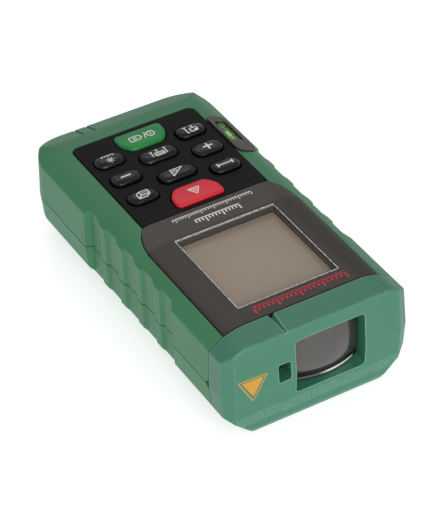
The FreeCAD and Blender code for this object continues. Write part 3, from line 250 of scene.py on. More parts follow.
green_shell = moulded("green_shell", (0.030, 0.170, 0.073), 0.5, grain=1900.0, depth=0.6, drift=0.16)
green_cap = moulded("green_cap", (0.033, 0.162, 0.099), 0.46, grain=1900.0, depth=0.5, rounding=0.4,
                    painted_highlight_and_dots=(0.26, 0.52, 0.40), strip=(3.8 * MM, 7.4 * MM))
black_panel = moulded("black_panel", (0.006, 0.005, 0.0055), 0.6, grain=1900.0, depth=0.5, drift=0.3,
                      Specular_IOR_Level=0.12)
black_key = moulded("black_key", (0.004, 0.0035, 0.0035), 0.27, depth=0.10, drift=0.15,
                    Specular_IOR_Level=0.35)
green_key = moulded("green_key", (0.010, 0.200, 0.045), 0.36, depth=0.12, Specular_IOR_Level=0.35)
red_key = moulded("red_key", (0.640, 0.014, 0.030), 0.38, depth=0.12, Specular_IOR_Level=0.35)
black_plastic = moulded("black_plastic", (0.008, 0.007, 0.007), 0.45, Specular_IOR_Level=0.3)
vial_holder = moulded("vial_holder", (0.034, 0.026, 0.020), 0.42, depth=0.2)
seal_rubber = moulded("seal_rubber", (0.004, 0.004, 0.004), 0.75, depth=0.1, Specular_IOR_Level=0.15)
print("plastics", len(bpy.data.materials))

# %% [markdown]
# The bezel is satin plastic too, but its end above the display leans back a little and catches more light. A
# band of lighter grey, faded in along the meter, is painted light that makes that end paler.

# %% Bezel
LIT_END_START = VIEW_HIGH.y + 0.3 * MM
LIT_END_FADE = 900.0


def satin_bezel():
    finish = Finish("bezel_grey", (0.020, 0.013, 0.008), 0.34, Specular_IOR_Level=0.34)
    fine = finish.noise(3200.0)
    along = finish.node("ShaderNodeSeparateXYZ", out=1, Vector=finish.place)
    # Painted light: past the display the grey is blended towards a lighter grey.
    band = ((along - LIT_END_START) * LIT_END_FADE).join("MAXIMUM", 0.0).join("MINIMUM", 1.0)
    painted_light_and_grain = band * 0.85 + fine * 0.15
    finish.feed("Base Color", finish.blend(painted_light_and_grain, (0.017, 0.0115, 0.007), (0.039, 0.031, 0.025)))
    finish.feed("Roughness", fine * 0.14 + 0.28)
    finish.feed("Normal", finish.bump(fine, 0.16, GRAIN_HEIGHT, under=finish.edge(0.3 * MM)))
    return finish.material


bezel_grey = satin_bezel()
print("bezel", bezel_grey.name)

# %% [markdown]
# The display is a reflective liquid-crystal glass, switched off: a warm grey sheet whose tone drifts
# slowly. The window over it is thin and flat, so alpha shows the glass below it without the speckle that
# refraction would add.

# %% Display glass and window
def display_glass():
    finish = Finish("display_glass", (0.353, 0.270, 0.196), 0.35, Specular_IOR_Level=0.2)
    cloud = finish.noise(60.0, detail=2.0)
    finish.feed("Base Color", finish.blend(cloud, (0.338, 0.256, 0.184), (0.374, 0.286, 0.210)))
    finish.feed("Roughness", cloud * 0.1 + 0.25)
    return finish.material


def clear_window():
    finish = Finish("clear_window", (0.30, 0.29, 0.28), 0.05, Alpha=0.10)
    smear = finish.noise(120.0)
    finish.feed("Roughness", smear * 0.08 + 0.03)
    return finish.material


lcd_glass = display_glass()
window_clear = clear_window()

# %% [markdown]
# The receiving lens is a thick glass block, cut square to fill its window, with a domed front. From outside
# one sees its coating's soft grey sheen over a dark barrel. A glossy coat over a warm grey with a painted
# sheen, lighter towards one side and painted shade towards the other, gives that without a full light path.

# %% Optics
SHEEN_FADE = 45.0
METAL_STREAK = 1200.0


def coated_lens():
    finish = Finish("coated_lens", (0.05, 0.046, 0.043), 0.2, Coat_Weight=0.45, Coat_Roughness=0.08)
    cloud = finish.noise(70.0)
    across = finish.node("ShaderNodeSeparateXYZ", Vector=finish.place)
    # Painted sheen and shade: the grey is lighter on one side of the lens and darker on the other, broken by
    # noise.
    drift = (across - LENS.x) * SHEEN_FADE + cloud * 0.7
    finish.feed("Base Color", finish.blend(drift, (0.056, 0.050, 0.045), (0.020, 0.018, 0.017)))
    finish.feed("Roughness", cloud * 0.08 + 0.18)
    return finish.material


def metal(name, colour, roughness):
    finish = Finish(name, colour, roughness, Metallic=1.0)
    fine = finish.noise(METAL_STREAK, detail=2.0)
    finish.feed("Base Color", finish.blend(fine, tuple(part * 0.85 for part in colour), colour))
    finish.feed("Roughness", fine * 0.15 + roughness)
    return finish.material


lens_coat = coated_lens()
steel = metal("steel", (0.62, 0.61, 0.59), 0.25)
brass = metal("brass", (0.72, 0.50, 0.22), 0.25)
label_foil = metal("label_foil", (0.60, 0.61, 0.60), 0.35)

# %% [markdown]
# The level's tube is clear and its spirit is bright green. They lie skin to skin, so refraction would only
# add speckle there. Alpha shows what is behind a thin clear part more cleanly, and a faint glow stands for
# the light that the spirit gathers.

# %% Spirit level finishes
def clear_tint(name, colour, alpha, glow=0.0, roughness=0.1):
    finish = Finish(name, colour, roughness, Alpha=alpha, Emission_Strength=glow, Emission_Color=(*colour, 1))
    cloud = finish.noise(500.0)
    finish.feed("Roughness", cloud * 0.1 + roughness)
    return finish.material


spirit_green = clear_tint("spirit_green", (0.05, 0.27, 0.025), 0.55, glow=0.28)
tube_clear = clear_tint("tube_clear", (0.60, 0.85, 0.45), 0.08)
# The bubble glows brighter than the spirit: painted light, though it is no lamp.
bubble_clear = clear_tint("bubble_clear", (0.70, 0.92, 0.50), 1.0, glow=0.75, roughness=0.04)
board_green = moulded("board_green", (0.012, 0.075, 0.030), 0.35, grain=900.0)
cell_sleeve = moulded("cell_sleeve", (0.02, 0.02, 0.024), 0.25, depth=0.05)

# %% [markdown]
# Each CAD node now gets its finish. A dictionary says which, and a loop assigns it to the material slot,
# which leaves the mesh alone.

# %% Dress the CAD nodes
DRESS = {
    green_shell: ("upper_housing", "lower_housing", "battery_door"),
    green_cap: ("front_cap",),
    black_panel: ("keypad_panel",),
    bezel_grey: ("display_bezel",),
    window_clear: ("display_window",),
    lcd_glass: ("lcd_panel",),
    seal_rubber: ("cap_gasket", "lcd_connector"),
    black_plastic: ("lcd_frame", "lens_ring", "optical_chassis", "board_chips", "buzzer", "vial_plugs"),
    vial_holder: ("vial_housing",),
    tube_clear: ("vial_tube",),
    spirit_green: ("vial_fluid",),
    bubble_clear: ("vial_bubble",),
    lens_coat: ("receiver_lens", "collimator_lens"),
    steel: ("dome_switches", "board_screws", "housing_screws", "photodiode", "battery_springs",
            "battery_contacts"),
    brass: ("laser_module",),
    board_green: ("main_board", "receiver_board"),
    label_foil: ("rating_plate",),
    cell_sleeve: ("battery_cell_left", "battery_cell_middle", "battery_cell_right"),
    green_key: ("power_key",),
    red_key: ("measure_key",),
    black_key: ("unit_key", "minus_key", "volume_key", "area_key", "plus_key", "length_key", "indirect_key",
                "triangle_key"),
}
for material, names in DRESS.items():
    for name in names:
        mesh = nodes[name].data
        mesh.materials.clear()
        mesh.materials.append(material)
dressed = {name for names in DRESS.values() for name in names}
print("undressed", sorted(set(nodes) - dressed))

# %% [markdown]
# Printed marks are thin pieces of ink, a few hundredths of a millimetre proud. A mark is drawn on a flat
# sheet as straight strokes, small polygons and spun rings. The whole mark is turned and moved into place at
# the end, so that its object stays at the origin.

# %% Marks: the drawing tools
INK = 0.03 * MM
DROP_FROM = 3 * MM
RING_STEPS = 28


class Mark:
    """Flat ink strokes, drawn in millimetres round a middle, then laid onto the meter."""

    def __init__(self, name):
        self.name = name
        self.bm = bmesh.new()

    def polygon(self, *corners):
        points = [self.bm.verts.new((across * MM, up * MM, 0)) for across, up in corners]
        self.bm.faces.new(points)

    def stroke(self, start, end, width):
        start, end = Vector(start), Vector(end)
        side = (end - start).normalized() * width / 2
        side = Vector((-side.y, side.x))
        self.polygon(start + side, start - side, end - side, end + side)

    def path(self, points, width, closed=False):
        ends = points[1:] + points[:1] if closed else points[1:]
        for start, end in zip(points, ends):
            self.stroke(start, end, width)

    def ring(self, centre, radius, width):
        """A round stroke: a short radial edge spun round a centre."""
        at = Vector((centre[0] * MM, centre[1] * MM, 0))
        ends = [self.bm.verts.new(at + Vector((radius + side * width / 2, 0, 0)) * MM) for side in (-1, 1)]
        edge = self.bm.edges.new(ends)
        bmesh.ops.spin(self.bm, geom=[edge, *ends], cent=at, axis=(0, 0, 1), angle=math.tau, steps=RING_STEPS,
                       use_duplicate=False, use_merge=True)

    def lay(self, material, body, place, ground, turn=180.0, tilt=None, cuts=4):
        """Turn the mark, move it over its surface, drop it on, thicken it and let it ride on a body."""
        bm = self.bm
        bmesh.ops.subdivide_edges(bm, edges=bm.edges[:], cuts=cuts, use_grid_fill=True)
        tilt = tilt or Matrix.Identity(4)
        spot = Matrix.Translation(place) @ tilt @ Matrix.Rotation(math.radians(turn), 4, "Z")
        bmesh.ops.transform(bm, matrix=spot, verts=bm.verts)
        out = tilt.to_3x3() @ Vector((0, 0, 1))
        for vert in bm.verts:
            hit = ground.ray_cast(vert.co + out * DROP_FROM, -out)[0]
            if hit is not None:
                vert.co = hit
        made = bmesh.ops.extrude_face_region(bm, geom=bm.faces[:])
        lifted = [item for item in made["geom"] if isinstance(item, bmesh.types.BMVert)]
        bmesh.ops.translate(bm, vec=out * INK, verts=lifted)
        bmesh.ops.recalc_face_normals(bm, faces=bm.faces)
        return settle(bm, self.name, material, body)


def settle(bm, name, material, body, smooth=False):
    """Make a finished bmesh a piece of the meter."""
    mesh = bpy.data.meshes.new(name)
    bm.to_mesh(mesh)
    bm.free()
    piece = bpy.data.objects.new(name, mesh)
    bpy.context.collection.objects.link(piece)
    mesh.materials.append(material)
    for face in mesh.polygons:
        face.use_smooth = smooth
    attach(piece, body)
    return piece


def ink(name, colour):
    finish = Finish(name, colour, 0.5)
    wear = finish.noise(1500.0, detail=2.0)
    finish.feed("Base Color", finish.blend(wear, tuple(part * 0.82 for part in colour), colour))
    finish.feed("Roughness", wear * 0.2 + 0.4)
    return finish.material


def surface(piece):
    """A piece's mesh as a tree that marks can be dropped onto."""
    bm = bmesh.new()
    bm.from_mesh(piece.data)
    tree = BVHTree.FromBMesh(bm)
    bm.free()
    return tree


white_ink = ink("white_ink", (0.78, 0.77, 0.75))
amber_ink = ink("amber_ink", (0.56, 0.27, 0.014))
red_ink = ink("red_ink", (0.46, 0.010, 0.024))
print("inks ready")

# %% [markdown]
# Eight keys are soft black pillows. A pillow starts as a flat rounded rectangle: a one-cell grid whose
# corners are bevelled. It rises straight for a short way and then in rings, each a little smaller and
# higher, which follow a quarter of an ellipse. The stem below it presses the dome switch, as in the CAD key
# that it replaces.

# %% Domed key caps
KEY_ROUND = 2.4 * MM
FLANGE = 0.6 * MM
SIDE_RISE = 0.3 * MM
SUNK = 0.5 * MM
SHOULDER = 2.65 * MM
RINGS = 9
STEM = 1.6 * MM
KEY_MARK_ROOM = 0.06 * MM


def raise_face(bm, face, up, around=None, shrink=(1, 1)):
    """Extrude one face upwards, shrink it round a point, and give the new top face back."""
    made = bmesh.ops.extrude_face_region(bm, geom=[face])["geom"]
    verts = [item for item in made if isinstance(item, bmesh.types.BMVert)]
    bmesh.ops.translate(bm, vec=(0, 0, up), verts=verts)
    if around is not None:
        bmesh.ops.scale(bm, vec=(*shrink, 1), verts=verts, space=Matrix.Translation(-around))
    return next(item for item in made if isinstance(item, bmesh.types.BMFace))


def rounded_plate(bm, centre, half_across, half_along, rounding, segments=7):
    """A flat rounded rectangle, as one face."""
    verts = bmesh.ops.create_grid(bm, x_segments=1, y_segments=1, size=1)["verts"]
    bmesh.ops.scale(bm, vec=(half_across, half_along, 1), verts=verts)
    bmesh.ops.translate(bm, vec=centre, verts=verts)
    bmesh.ops.bevel(bm, geom=verts, offset=rounding, affect="VERTICES", segments=segments, profile=0.5,
                    material=-1)
    return max(bm.faces, key=lambda face: face.calc_area())


def pillow(name, centre, face, bm, across, along, rise, shoulder, material, low):
    """Raise a plan into a domed cap with its stem, in place of the CAD key."""
    face = raise_face(bm, face, SUNK + SIDE_RISE)
    dome = rise - SIDE_RISE
    inward, height = 0.0, 0.0
    for ring in range(1, RINGS + 1):
        angle = math.radians(90 * ring / RINGS)
        reach, level = shoulder * (1 - math.cos(angle)), dome * math.sin(angle)
        shrink = ((across - reach) / (across - inward), (along - reach) / (along - inward))
        face = raise_face(bm, face, level - height, centre, shrink)
        inward, height = reach, level
    depth = centre.z - low.z
    bmesh.ops.create_cone(bm, cap_ends=True, segments=24, radius1=STEM, radius2=STEM, depth=depth,
                          matrix=Matrix.Translation((centre.x, centre.y, low.z + depth / 2)))
    bmesh.ops.recalc_face_normals(bm, faces=bm.faces)
    # The frame already holds materials of these names, so Blender may number this one; a slot has no number.
    piece = settle(bm, name + "_cap", material, name, smooth=True)
    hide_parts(name)
    return piece


def cap_place(name):
    """A key's lowest corner, its cap's middle at the foot of the cap, and the cap's half sizes."""
    low, high = span(name)
    centre = (low + high) / 2
    centre.z = TOP - SUNK
    return low, centre, (high.x - low.x) / 2 - FLANGE, (high.y - low.y) / 2 - FLANGE


def key_cap(name):
    low, centre, across, along = cap_place(name)
    bm = bmesh.new()
    face = rounded_plate(bm, centre, across, along, KEY_ROUND)
    rise = KEY_TOP - KEY_MARK_ROOM - TOP
    return pillow(name, centre, face, bm, across, along, rise, SHOULDER, black_key, low)


caps = {name: key_cap(name) for name in DRESS[black_key]}
print("caps", len(caps), "size", tuple(round(side / MM, 2) for side in caps["plus_key"].dimensions))

# %% [markdown]
# The two coloured keys are wider and flatter. Each has a neck towards the middle of the keypad, so its plan
# is a plate whose two neck corners move inwards after a cut across it, and all its corners are then
# rounded.

# %% Wide key caps
NECK = 5.0 * MM
STEP = 4.6 * MM
WIDE_ROUND = 1.3 * MM
WIDE_RISE = 0.95 * MM
WIDE_SHOULDER = 1.5 * MM


def wide_cap(name, material, inward):
    """A wide key: inward is +1 where the neck lies towards the tail, and -1 towards the nose."""
    low, centre, across, along = cap_place(name)
    bm = bmesh.new()
    verts = bmesh.ops.create_grid(bm, x_segments=1, y_segments=1, size=1)["verts"]
    bmesh.ops.scale(bm, vec=(across, along, 1), verts=verts)
    edges = [edge for edge in bm.edges if abs(edge.verts[0].co.y - edge.verts[1].co.y) > along]
    made = bmesh.ops.subdivide_edges(bm, edges=edges, cuts=1)["geom_inner"]
    waist = [item for item in made if isinstance(item, bmesh.types.BMVert)]
    for vert in bm.verts:
        if vert in waist:
            vert.co.y = inward * (STEP - along)
        elif vert.co.y * inward > 0:
            vert.co.x *= NECK / across
    bmesh.ops.dissolve_edges(bm, edges=[edge for edge in bm.edges if len(edge.link_faces) == 2])
    bmesh.ops.translate(bm, vec=centre, verts=bm.verts)
    bmesh.ops.bevel(bm, geom=bm.verts[:], offset=WIDE_ROUND, affect="VERTICES", segments=6, profile=0.5,
                    material=-1)
    face = max(bm.faces, key=lambda item: item.calc_area())
    return pillow(name, centre, face, bm, across, along, WIDE_RISE, WIDE_SHOULDER, material, low)


caps["power_key"] = wide_cap("power_key", green_key, -1)
caps["measure_key"] = wide_cap("measure_key", red_key, 1)
print("wide caps", [round(side / MM, 2) for side in caps["measure_key"].dimensions])

# %% [markdown]
# The key symbols are drawn for someone at the tail of the meter, so they are turned by half a turn. They
# are plain signs: arithmetic, lengths, areas, boxes and triangles.

# %% Key symbols
BOLD = 0.52
THIN = 0.32


def sun_sign(mark):
    centre = Vector((0, 0.85))
    mark.ring(centre, 0.38, 0.30)
    for ray in range(8):
        angle = math.radians(45 * ray)
        out = Vector((math.cos(angle), math.sin(angle)))
        mark.stroke(centre + out * 0.72, centre + out * 1.15, 0.22)
    mark.stroke((-1.9, -1.55), (1.9, -1.55), 0.26)
    for tick in range(5):
        at = -1.77 + 0.885 * tick
        mark.stroke((at, -1.5), (at, -0.75 if tick % 2 == 0 else -1.05), 0.26)


def plus_sign(mark):
    mark.stroke((-1.55, 0), (1.55, 0), BOLD)
    mark.stroke((0, -1.45), (0, 1.45), BOLD)


def minus_sign(mark):
    mark.stroke((-1.6, 0), (1.6, 0), BOLD)


def length_sign(mark):
    mark.stroke((-2.3, 0), (2.3, 0), 0.42)
    for side in (-1, 1):
        mark.stroke((2.3 * side, -0.85), (2.3 * side, 0.85), 0.42)


def volume_sign(mark):
    front = [(-1.9, -1.4), (0.7, -1.4), (0.7, 0.5), (-1.9, 0.5)]
    back = [(x + 1.1, y + 0.95) for x, y in front]
    mark.path(front, THIN, closed=True)
    mark.path(back[1:], THIN)
    for corner in (1, 2, 3):
        mark.stroke(front[corner], back[corner], THIN)
    for hatch in range(4):
        mark.stroke((-1.5 + 0.55 * hatch, -1.1), (-1.5 + 0.55 * hatch, 0.2), 0.16)


def area_sign(mark):
    mark.path([(-1.9, 1.4), (0.3, 1.4), (0.3, -0.1), (-1.9, -0.1)], THIN, closed=True)
    mark.polygon((-1.9, 0.7), (-0.9, 0.7), (-0.9, 1.4), (-1.9, 1.4))
    mark.path([(0.9, 1.5), (1.5, 1.5), (1.5, -1.3)], THIN)
    mark.stroke((0.9, -1.3), (2.1, -1.3), THIN)
    mark.stroke((-0.8, -0.1), (-0.8, -1.3), THIN)
    mark.stroke((-1.2, -1.3), (-0.2, -1.3), THIN)


def indirect_sign(mark):
    for bar in range(6):
        mark.stroke((-1.3 + 0.45 * bar, 0.0), (-1.3 + 0.45 * bar, 1.4), 0.2)
    mark.path([(-1.6, 0), (1.3, 0), (1.3, 1.4), (-1.6, 1.4)], 0.22, closed=True)
    for side in (-2.3, 0.2):
        mark.stroke((side, 1.4 if side < 0 else 0), (side, -1.3), THIN)
        mark.stroke((side - 0.5, -1.3), (side + 0.5, -1.3), THIN)
    mark.polygon((1.6, -1.0), (2.7, -1.0), (2.15, -0.1))
    mark.stroke((2.15, -0.2), (2.15, 1.4), THIN)


def triangle_sign(mark):
    mark.path([(-2.2, -1.35), (1.7, -1.35), (1.7, 1.55)], THIN, closed=True)
    mark.path([(-0.1, -0.85), (0.75, -0.85), (0.75, -0.1), (-0.1, -0.1)], 0.2, closed=True)
    mark.stroke((1.2, -0.9), (1.2, 0.3), 0.2)


def power_sign(mark):
    mark.ring((-2.7, 0), 1.15, 0.36)
    mark.stroke((-2.7, -0.5), (-2.7, 0.5), 0.34)
    mark.stroke((-1.25, -1.3), (-0.45, 1.3), 0.34)
    mark.path([(0.2, 0), (1.1, 1.05), (4.0, 1.05), (4.0, -1.05), (1.1, -1.05)], 0.32, closed=True)
    mark.stroke((1.75, -0.45), (3.0, 0.45), 0.3)
    mark.stroke((1.75, 0.45), (3.0, -0.45), 0.3)


def measure_sign(mark):
    mark.path([(-1.75, -1.35), (1.75, -1.35), (0, 1.5)], THIN, closed=True)
    for bar, half in enumerate((1.0, 0.65, 0.3)):
        mark.stroke((-half, -0.8 + 0.55 * bar), (half, -0.8 + 0.55 * bar), 0.22)


SIGNS = {"unit_key": sun_sign, "plus_key": plus_sign, "minus_key": minus_sign, "length_key": length_sign,
         "volume_key": volume_sign, "area_key": area_sign, "indirect_key": indirect_sign,
         "triangle_key": triangle_sign, "power_key": power_sign, "measure_key": measure_sign}
for name, draw in SIGNS.items():
    piece = caps.get(name, nodes[name])
    spot = middle(name)
    spot.z = KEY_TOP
    mark = Mark(name + "_sign")
    draw(mark)
    mark.lay(white_ink, name, spot, surface(piece))
print("signs", len(SIGNS))

# %% [markdown]
# The bezel carries lines of print and a red line below the display. They are shown as plain scales: rows of
# ticks of the same height, length and colour as the print, with every fifth tick taller.

# %% Scales on the bezel
def scale_row(name, material, middle_along, left, right, height, pitch, width):
    """A row of ticks between two places across the bezel."""
    mark = Mark(name)
    count = int((left - right) / pitch) + 1
    start = -(count - 1) * pitch / 2
    foot = -height / 2
    for tick in range(count):
        tall = height if tick % 5 == 0 else height * 0.62
        at = start + tick * pitch
        mark.stroke((at, foot), (at, foot + tall), width)
    mark.stroke((start - width / 2, foot), (width / 2 - start, foot), width)
    place = Vector(((left + right) / 2 * MM, middle_along * MM, TOP))
    return mark.lay(material, "housing", place, bezel_surface, cuts=1)


bezel_surface = surface(nodes["display_bezel"])
scale_row("fine_scale", white_ink, -1.5, 13.4, -12.0, 1.5, 0.8, 0.26)
scale_row("bold_scale", white_ink, -5.0, 7.4, -6.3, 2.2, 1.05, 0.42)
scale_row("red_scale", red_ink, -46.2, 16.0, -12.4, 2.6, 1.4, 0.62)
print("scales on", round(TOP / MM, 2))

# %% [markdown]
# An amber triangle sits on the nose beside the beam window: a solid one inside a thin outline. It faces the
# front, so its sheet is tilted upright before it is dropped onto the cap.

# %% Triangle on the nose
UPRIGHT = Matrix.Rotation(math.radians(90), 4, "X")
cap_surface = surface(nodes["front_cap"])
sign_place = Vector((-20.3 * MM, NOSE, 16.9 * MM))
outline_mark = Mark("nose_outline")
outline_mark.path([(-4.3, 3.3), (4.4, 3.0), (-0.1, -4.5)], 0.3, closed=True)
outline_mark.lay(amber_ink, "housing", sign_place, cap_surface, turn=0.0, tilt=UPRIGHT)
solid_mark = Mark("nose_triangle")
solid_mark.polygon((-3.2, 2.7), (0.0, -2.9), (3.3, 2.5))
solid_mark.lay(amber_ink, "housing", sign_place, cap_surface, turn=0.0, tilt=UPRIGHT)
print("nose marks laid")

# %% [markdown]
# Along its lower edge the lens has a ground bevel, shown as a band with a painted highlight, with a band of
# painted shade above it where the barrel looks dark, and a thin dark foot below it. All three hug the dome.
# A level slice of a ball is a circle, so each band is a short upright profile that follows the ball and is
# spun about the ball's upright axis, only as far as the lens is wide.

# %% Bands on the lens
lens_low, lens_high = span("receiver_lens")
DOME = 24.7 * MM
BALL = Vector((LENS.x, lens_low.y + DOME, middle("photodiode").z))
BAND_PROUD = 0.03 * MM
BAND_SUNK = 0.3 * MM
BAND_SIDE_GAP = 0.15 * MM
BAND_STEPS = 5
WELD = 1e-7


def lens_band(name, material, low, high):
    """A thin skin on the dome between two heights above the lens's lower edge."""
    bm = bmesh.new()
    heights = [lens_low.z + low + (high - low) * step / BAND_STEPS for step in range(BAND_STEPS + 1)]
    turn = math.asin(((lens_high.x - lens_low.x) / 2 - BAND_SIDE_GAP) / DOME)
    start = Matrix.Rotation(-turn, 3, "Z") @ Vector((0, -1, 0))
    points = []
    for skin in (BAND_PROUD, -BAND_SUNK):
        ring = [BALL.xy.to_3d() + start * (math.sqrt(DOME ** 2 - (height - BALL.z) ** 2) + skin)
                + Vector((0, 0, height)) for height in heights]
        points += ring if skin > 0 else ring[::-1]
    verts = [bm.verts.new(point) for point in points]
    face = bm.faces.new(verts)
    made = bmesh.ops.spin(bm, geom=[face], cent=BALL, axis=(0, 0, 1), angle=2 * turn, steps=40,
                          use_duplicate=False)
    bmesh.ops.remove_doubles(bm, verts=bm.verts, dist=WELD)
    bmesh.ops.recalc_face_normals(bm, faces=bm.faces)
    print(name, len(bm.verts), len(made["geom_last"]))
    return settle(bm, name, material, "housing")


RIM_START = LENS.x - 2.0 * MM
RIM_FADE = 260.0
RIM_LEAST = 0.12


def painted_highlight_rim():
    """Silver with a painted highlight, brightest on one side of the lens and dark on the other."""
    finish = Finish("painted_highlight_rim", (0.6, 0.58, 0.56), 0.25)
    across = finish.node("ShaderNodeSeparateXYZ", Vector=finish.place)
    cloud = finish.noise(900.0)
    slide = (across - RIM_START) * RIM_FADE + cloud * 0.4
    bright = slide.join("MAXIMUM", RIM_LEAST).join("MINIMUM", 1.0)
    finish.feed("Base Color", finish.blend(bright, (0.03, 0.028, 0.027), (0.90, 0.87, 0.85)))
    return finish.material


# A band of painted highlight along the bevel.
lens_band("lens_bevel", painted_highlight_rim(), 0.4 * MM, 1.5 * MM)
# A black band of painted shade over the dome, where the barrel looks dark.
lens_band("lens_shadow", black_plastic, 1.55 * MM, 3.7 * MM)
lens_band("lens_foot", seal_rubber, 0.0, 0.35 * MM)

# %% [markdown]
# The opening over the display shows a bright line all round, where a cut edge gathers light; it is painted on
# as a highlight. It is a narrow lining that stands on the window up to the bezel's top: a rounded plate, its
# middle removed by an inset. The top of the lining carries a painted highlight, and so does its foot on the
# tail side.

# %% Bright edge of the window
EDGE_WIDTH = 0.2 * MM
EDGE_RISE = TOP - VIEW_HIGH.z
LINE_DEPTH = 0.14 * MM
FOOT_RISE = 0.45 * MM
EDGE_CORNER = 0.4 * MM
TAIL_SIDE = VIEW_HIGH.y - 1.0 * MM


def painted_window_glint():
    finish = Finish("painted_window_glint", (0.5, 0.48, 0.46), 0.2)
    spark = finish.noise(2200.0, detail=1.0)
    up = finish.node("ShaderNodeSeparateXYZ", out=2, Vector=finish.place)
    # Painted highlight: the lining's top is speckled with a light glint.
    glint = up.above(TOP - LINE_DEPTH) * ((spark - 0.30) * 4.0).join("MINIMUM", 1.0).join("MAXIMUM", 0.25)
    along = finish.node("ShaderNodeSeparateXYZ", out=1, Vector=finish.place)
    # Painted highlight: a lighter band at the lining's foot on the tail side, where the glass edge shines.
    foot = (1 - up.above(VIEW_HIGH.z + FOOT_RISE)) * along.above(TAIL_SIDE)
    glint = glint.join("MAXIMUM", foot * (spark * 0.9))
    finish.feed("Base Color", finish.blend(glint, (0.025, 0.023, 0.021), (0.70, 0.67, 0.64)))
    return finish.material


view_middle = (VIEW_LOW + VIEW_HIGH) / 2
view_middle.z = VIEW_HIGH.z
bm = bmesh.new()
half_view = (VIEW_HIGH - VIEW_LOW) / 2
face = rounded_plate(bm, view_middle, half_view.x, half_view.y, EDGE_CORNER, segments=3)
bmesh.ops.inset_region(bm, faces=[face], thickness=EDGE_WIDTH, use_even_offset=True, use_boundary=True)
bmesh.ops.delete(bm, geom=[max(bm.faces, key=lambda item: item.calc_area())], context="FACES_ONLY")
made = bmesh.ops.extrude_face_region(bm, geom=bm.faces[:])["geom"]
raised = [item for item in made if isinstance(item, bmesh.types.BMVert)]
bmesh.ops.translate(bm, vec=(0, 0, EDGE_RISE), verts=raised)
bmesh.ops.recalc_face_normals(bm, faces=bm.faces)
settle(bm, "window_edge", painted_window_glint(), "housing")
print("window edge at", round(VIEW_HIGH.z / MM, 2))

# %% [markdown]
# Two fine rings on the vial show where the bubble should stop.

# %% Lines on the vial
def turned_ring(name, material, body, axis_point, profile):
    """Spin a closed profile of (radius, along) pairs about an axis parallel to Y."""
    bm = bmesh.new()
    verts = [bm.verts.new(axis_point + Vector((radius, along, 0))) for radius, along in profile]
    edges = [bm.edges.new((first, second)) for first, second in zip(verts, verts[1:] + verts[:1])]
    bmesh.ops.spin(bm, geom=verts + edges, cent=axis_point, axis=(0, 1, 0), angle=math.tau, steps=96,
                   use_merge=True, use_duplicate=False)
    bmesh.ops.remove_doubles(bm, verts=bm.verts, dist=WELD)
    bmesh.ops.recalc_face_normals(bm, faces=bm.faces)
    return settle(bm, name, material, body, smooth=True)


tube_low, tube_high = span("vial_tube")
tube_middle = (tube_low + tube_high) / 2
LINE_PLACE = 2.4 * MM
LINE_HALF = 0.11 * MM
LINE_CLEAR = 0.02 * MM
LINE_THICK = 0.03 * MM
line_inner = (tube_high.x - tube_low.x) / 2 + LINE_CLEAR
line_outer = line_inner + LINE_THICK
band = [(line_inner, -LINE_HALF), (line_outer, -LINE_HALF), (line_outer, LINE_HALF), (line_inner, LINE_HALF)]
for side in (-1, 1):
    centre = tube_middle + Vector((0, side * LINE_PLACE, 0))
    turned_ring("vial_line_front" if side < 0 else "vial_line_rear", seal_rubber, "housing",
                centre, band)
print("vial lines", round(tube_middle.y / MM, 2))

# %% [markdown]
# The studio is a pale floor that glows a little, so that the meter throws hardly any shadow, under an even
# white world. A large soft box in front lights the nose, and a smaller one behind draws light edges along
# the top.

# %% Floor and light
FLOOR_HALF = 3.0
FLOOR_DROP = 0.05 * MM
WORLD_STRENGTH = 0.55
floor_mesh = bpy.data.meshes.new("floor")
bm = bmesh.new()
sheet = bmesh.ops.create_grid(bm, x_segments=4, y_segments=4, size=FLOOR_HALF)["verts"]
bmesh.ops.translate(bm, vec=(0, 0, -FLOOR_DROP), verts=sheet)
bm.to_mesh(floor_mesh)
bm.free()
floor = bpy.data.objects.new("floor", floor_mesh)
bpy.context.collection.objects.link(floor)
paper = Finish("paper", (0.6, 0.6, 0.6), 0.9, Emission_Color=(1, 1, 1, 1), Emission_Strength=0.62)
paper.feed("Roughness", paper.noise(4.0) * 0.1 + 0.85)
floor_mesh.materials.append(paper.material)

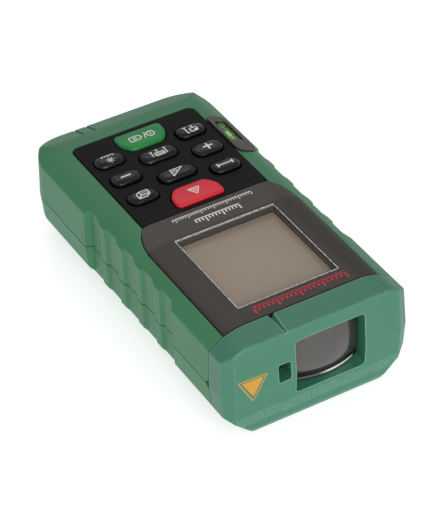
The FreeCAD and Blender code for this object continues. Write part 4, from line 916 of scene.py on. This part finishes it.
world = bpy.data.worlds.new("studio")
world.use_nodes = True
backdrop = world.node_tree.nodes["Background"]
backdrop.inputs["Color"].default_value = (1, 1, 1, 1)
backdrop.inputs["Strength"].default_value = WORLD_STRENGTH
bpy.context.scene.world = world
bpy.context.scene.view_settings.view_transform = "Standard"


def soft_box(name, place, power, size, aim=(0, 0, 0.015)):
    light = bpy.data.lights.new(name, "AREA")
    light.shape = "RECTANGLE"
    light.size, light.size_y = size
    light.energy = power
    lamp = bpy.data.objects.new(name, light)
    place = Vector(place)
    turn = (place - Vector(aim)).to_track_quat("Z", "Y").to_matrix().to_4x4()
    lamp.matrix_world = Matrix.Translation(place) @ turn
    bpy.context.collection.objects.link(lamp)


soft_box("main_box", (-0.15, -0.70, 0.35), 3.5, (0.6, 0.4))
soft_box("top_box", (0.15, 0.45, 0.60), 0.7, (0.6, 0.3))
print("lights", len(bpy.data.lights))

# %% [markdown]
# The camera is a long lens at the meter's front left, a little over two thirds of a metre away, and rolled
# by three degrees. Its axes come from the two angles, so changing an angle keeps the meter in the middle.

# %% Camera
AROUND, ABOVE, ROLL = math.radians(-28.18), math.radians(38.44), math.radians(-2.97)
TARGET = Vector((0.32, -3.5, 13.96)) * MM
DISTANCE = 668.75 * MM
SENSOR_WIDTH = 36.0
FOCAL_LENGTH = 165.4
NEAREST = 0.01
back = Vector((math.sin(AROUND) * math.cos(ABOVE), -math.cos(AROUND) * math.cos(ABOVE), math.sin(ABOVE)))
right = (-back).cross(Vector((0, 0, 1))).normalized()
up = right.cross(-back)
across = right * math.cos(ROLL) + up * math.sin(ROLL)
upward = up * math.cos(ROLL) - right * math.sin(ROLL)
camera = bpy.data.objects.new("camera", bpy.data.cameras.new("camera"))
camera.data.sensor_width = SENSOR_WIDTH
camera.data.lens = FOCAL_LENGTH
camera.data.clip_start = NEAREST
axes = Matrix((across, upward, back)).transposed().to_4x4()
camera.matrix_world = Matrix.Translation(TARGET + back * DISTANCE) @ axes
bpy.context.collection.objects.link(camera)
bpy.context.scene.camera = camera
print("camera", tuple(round(side, 3) for side in camera.location))
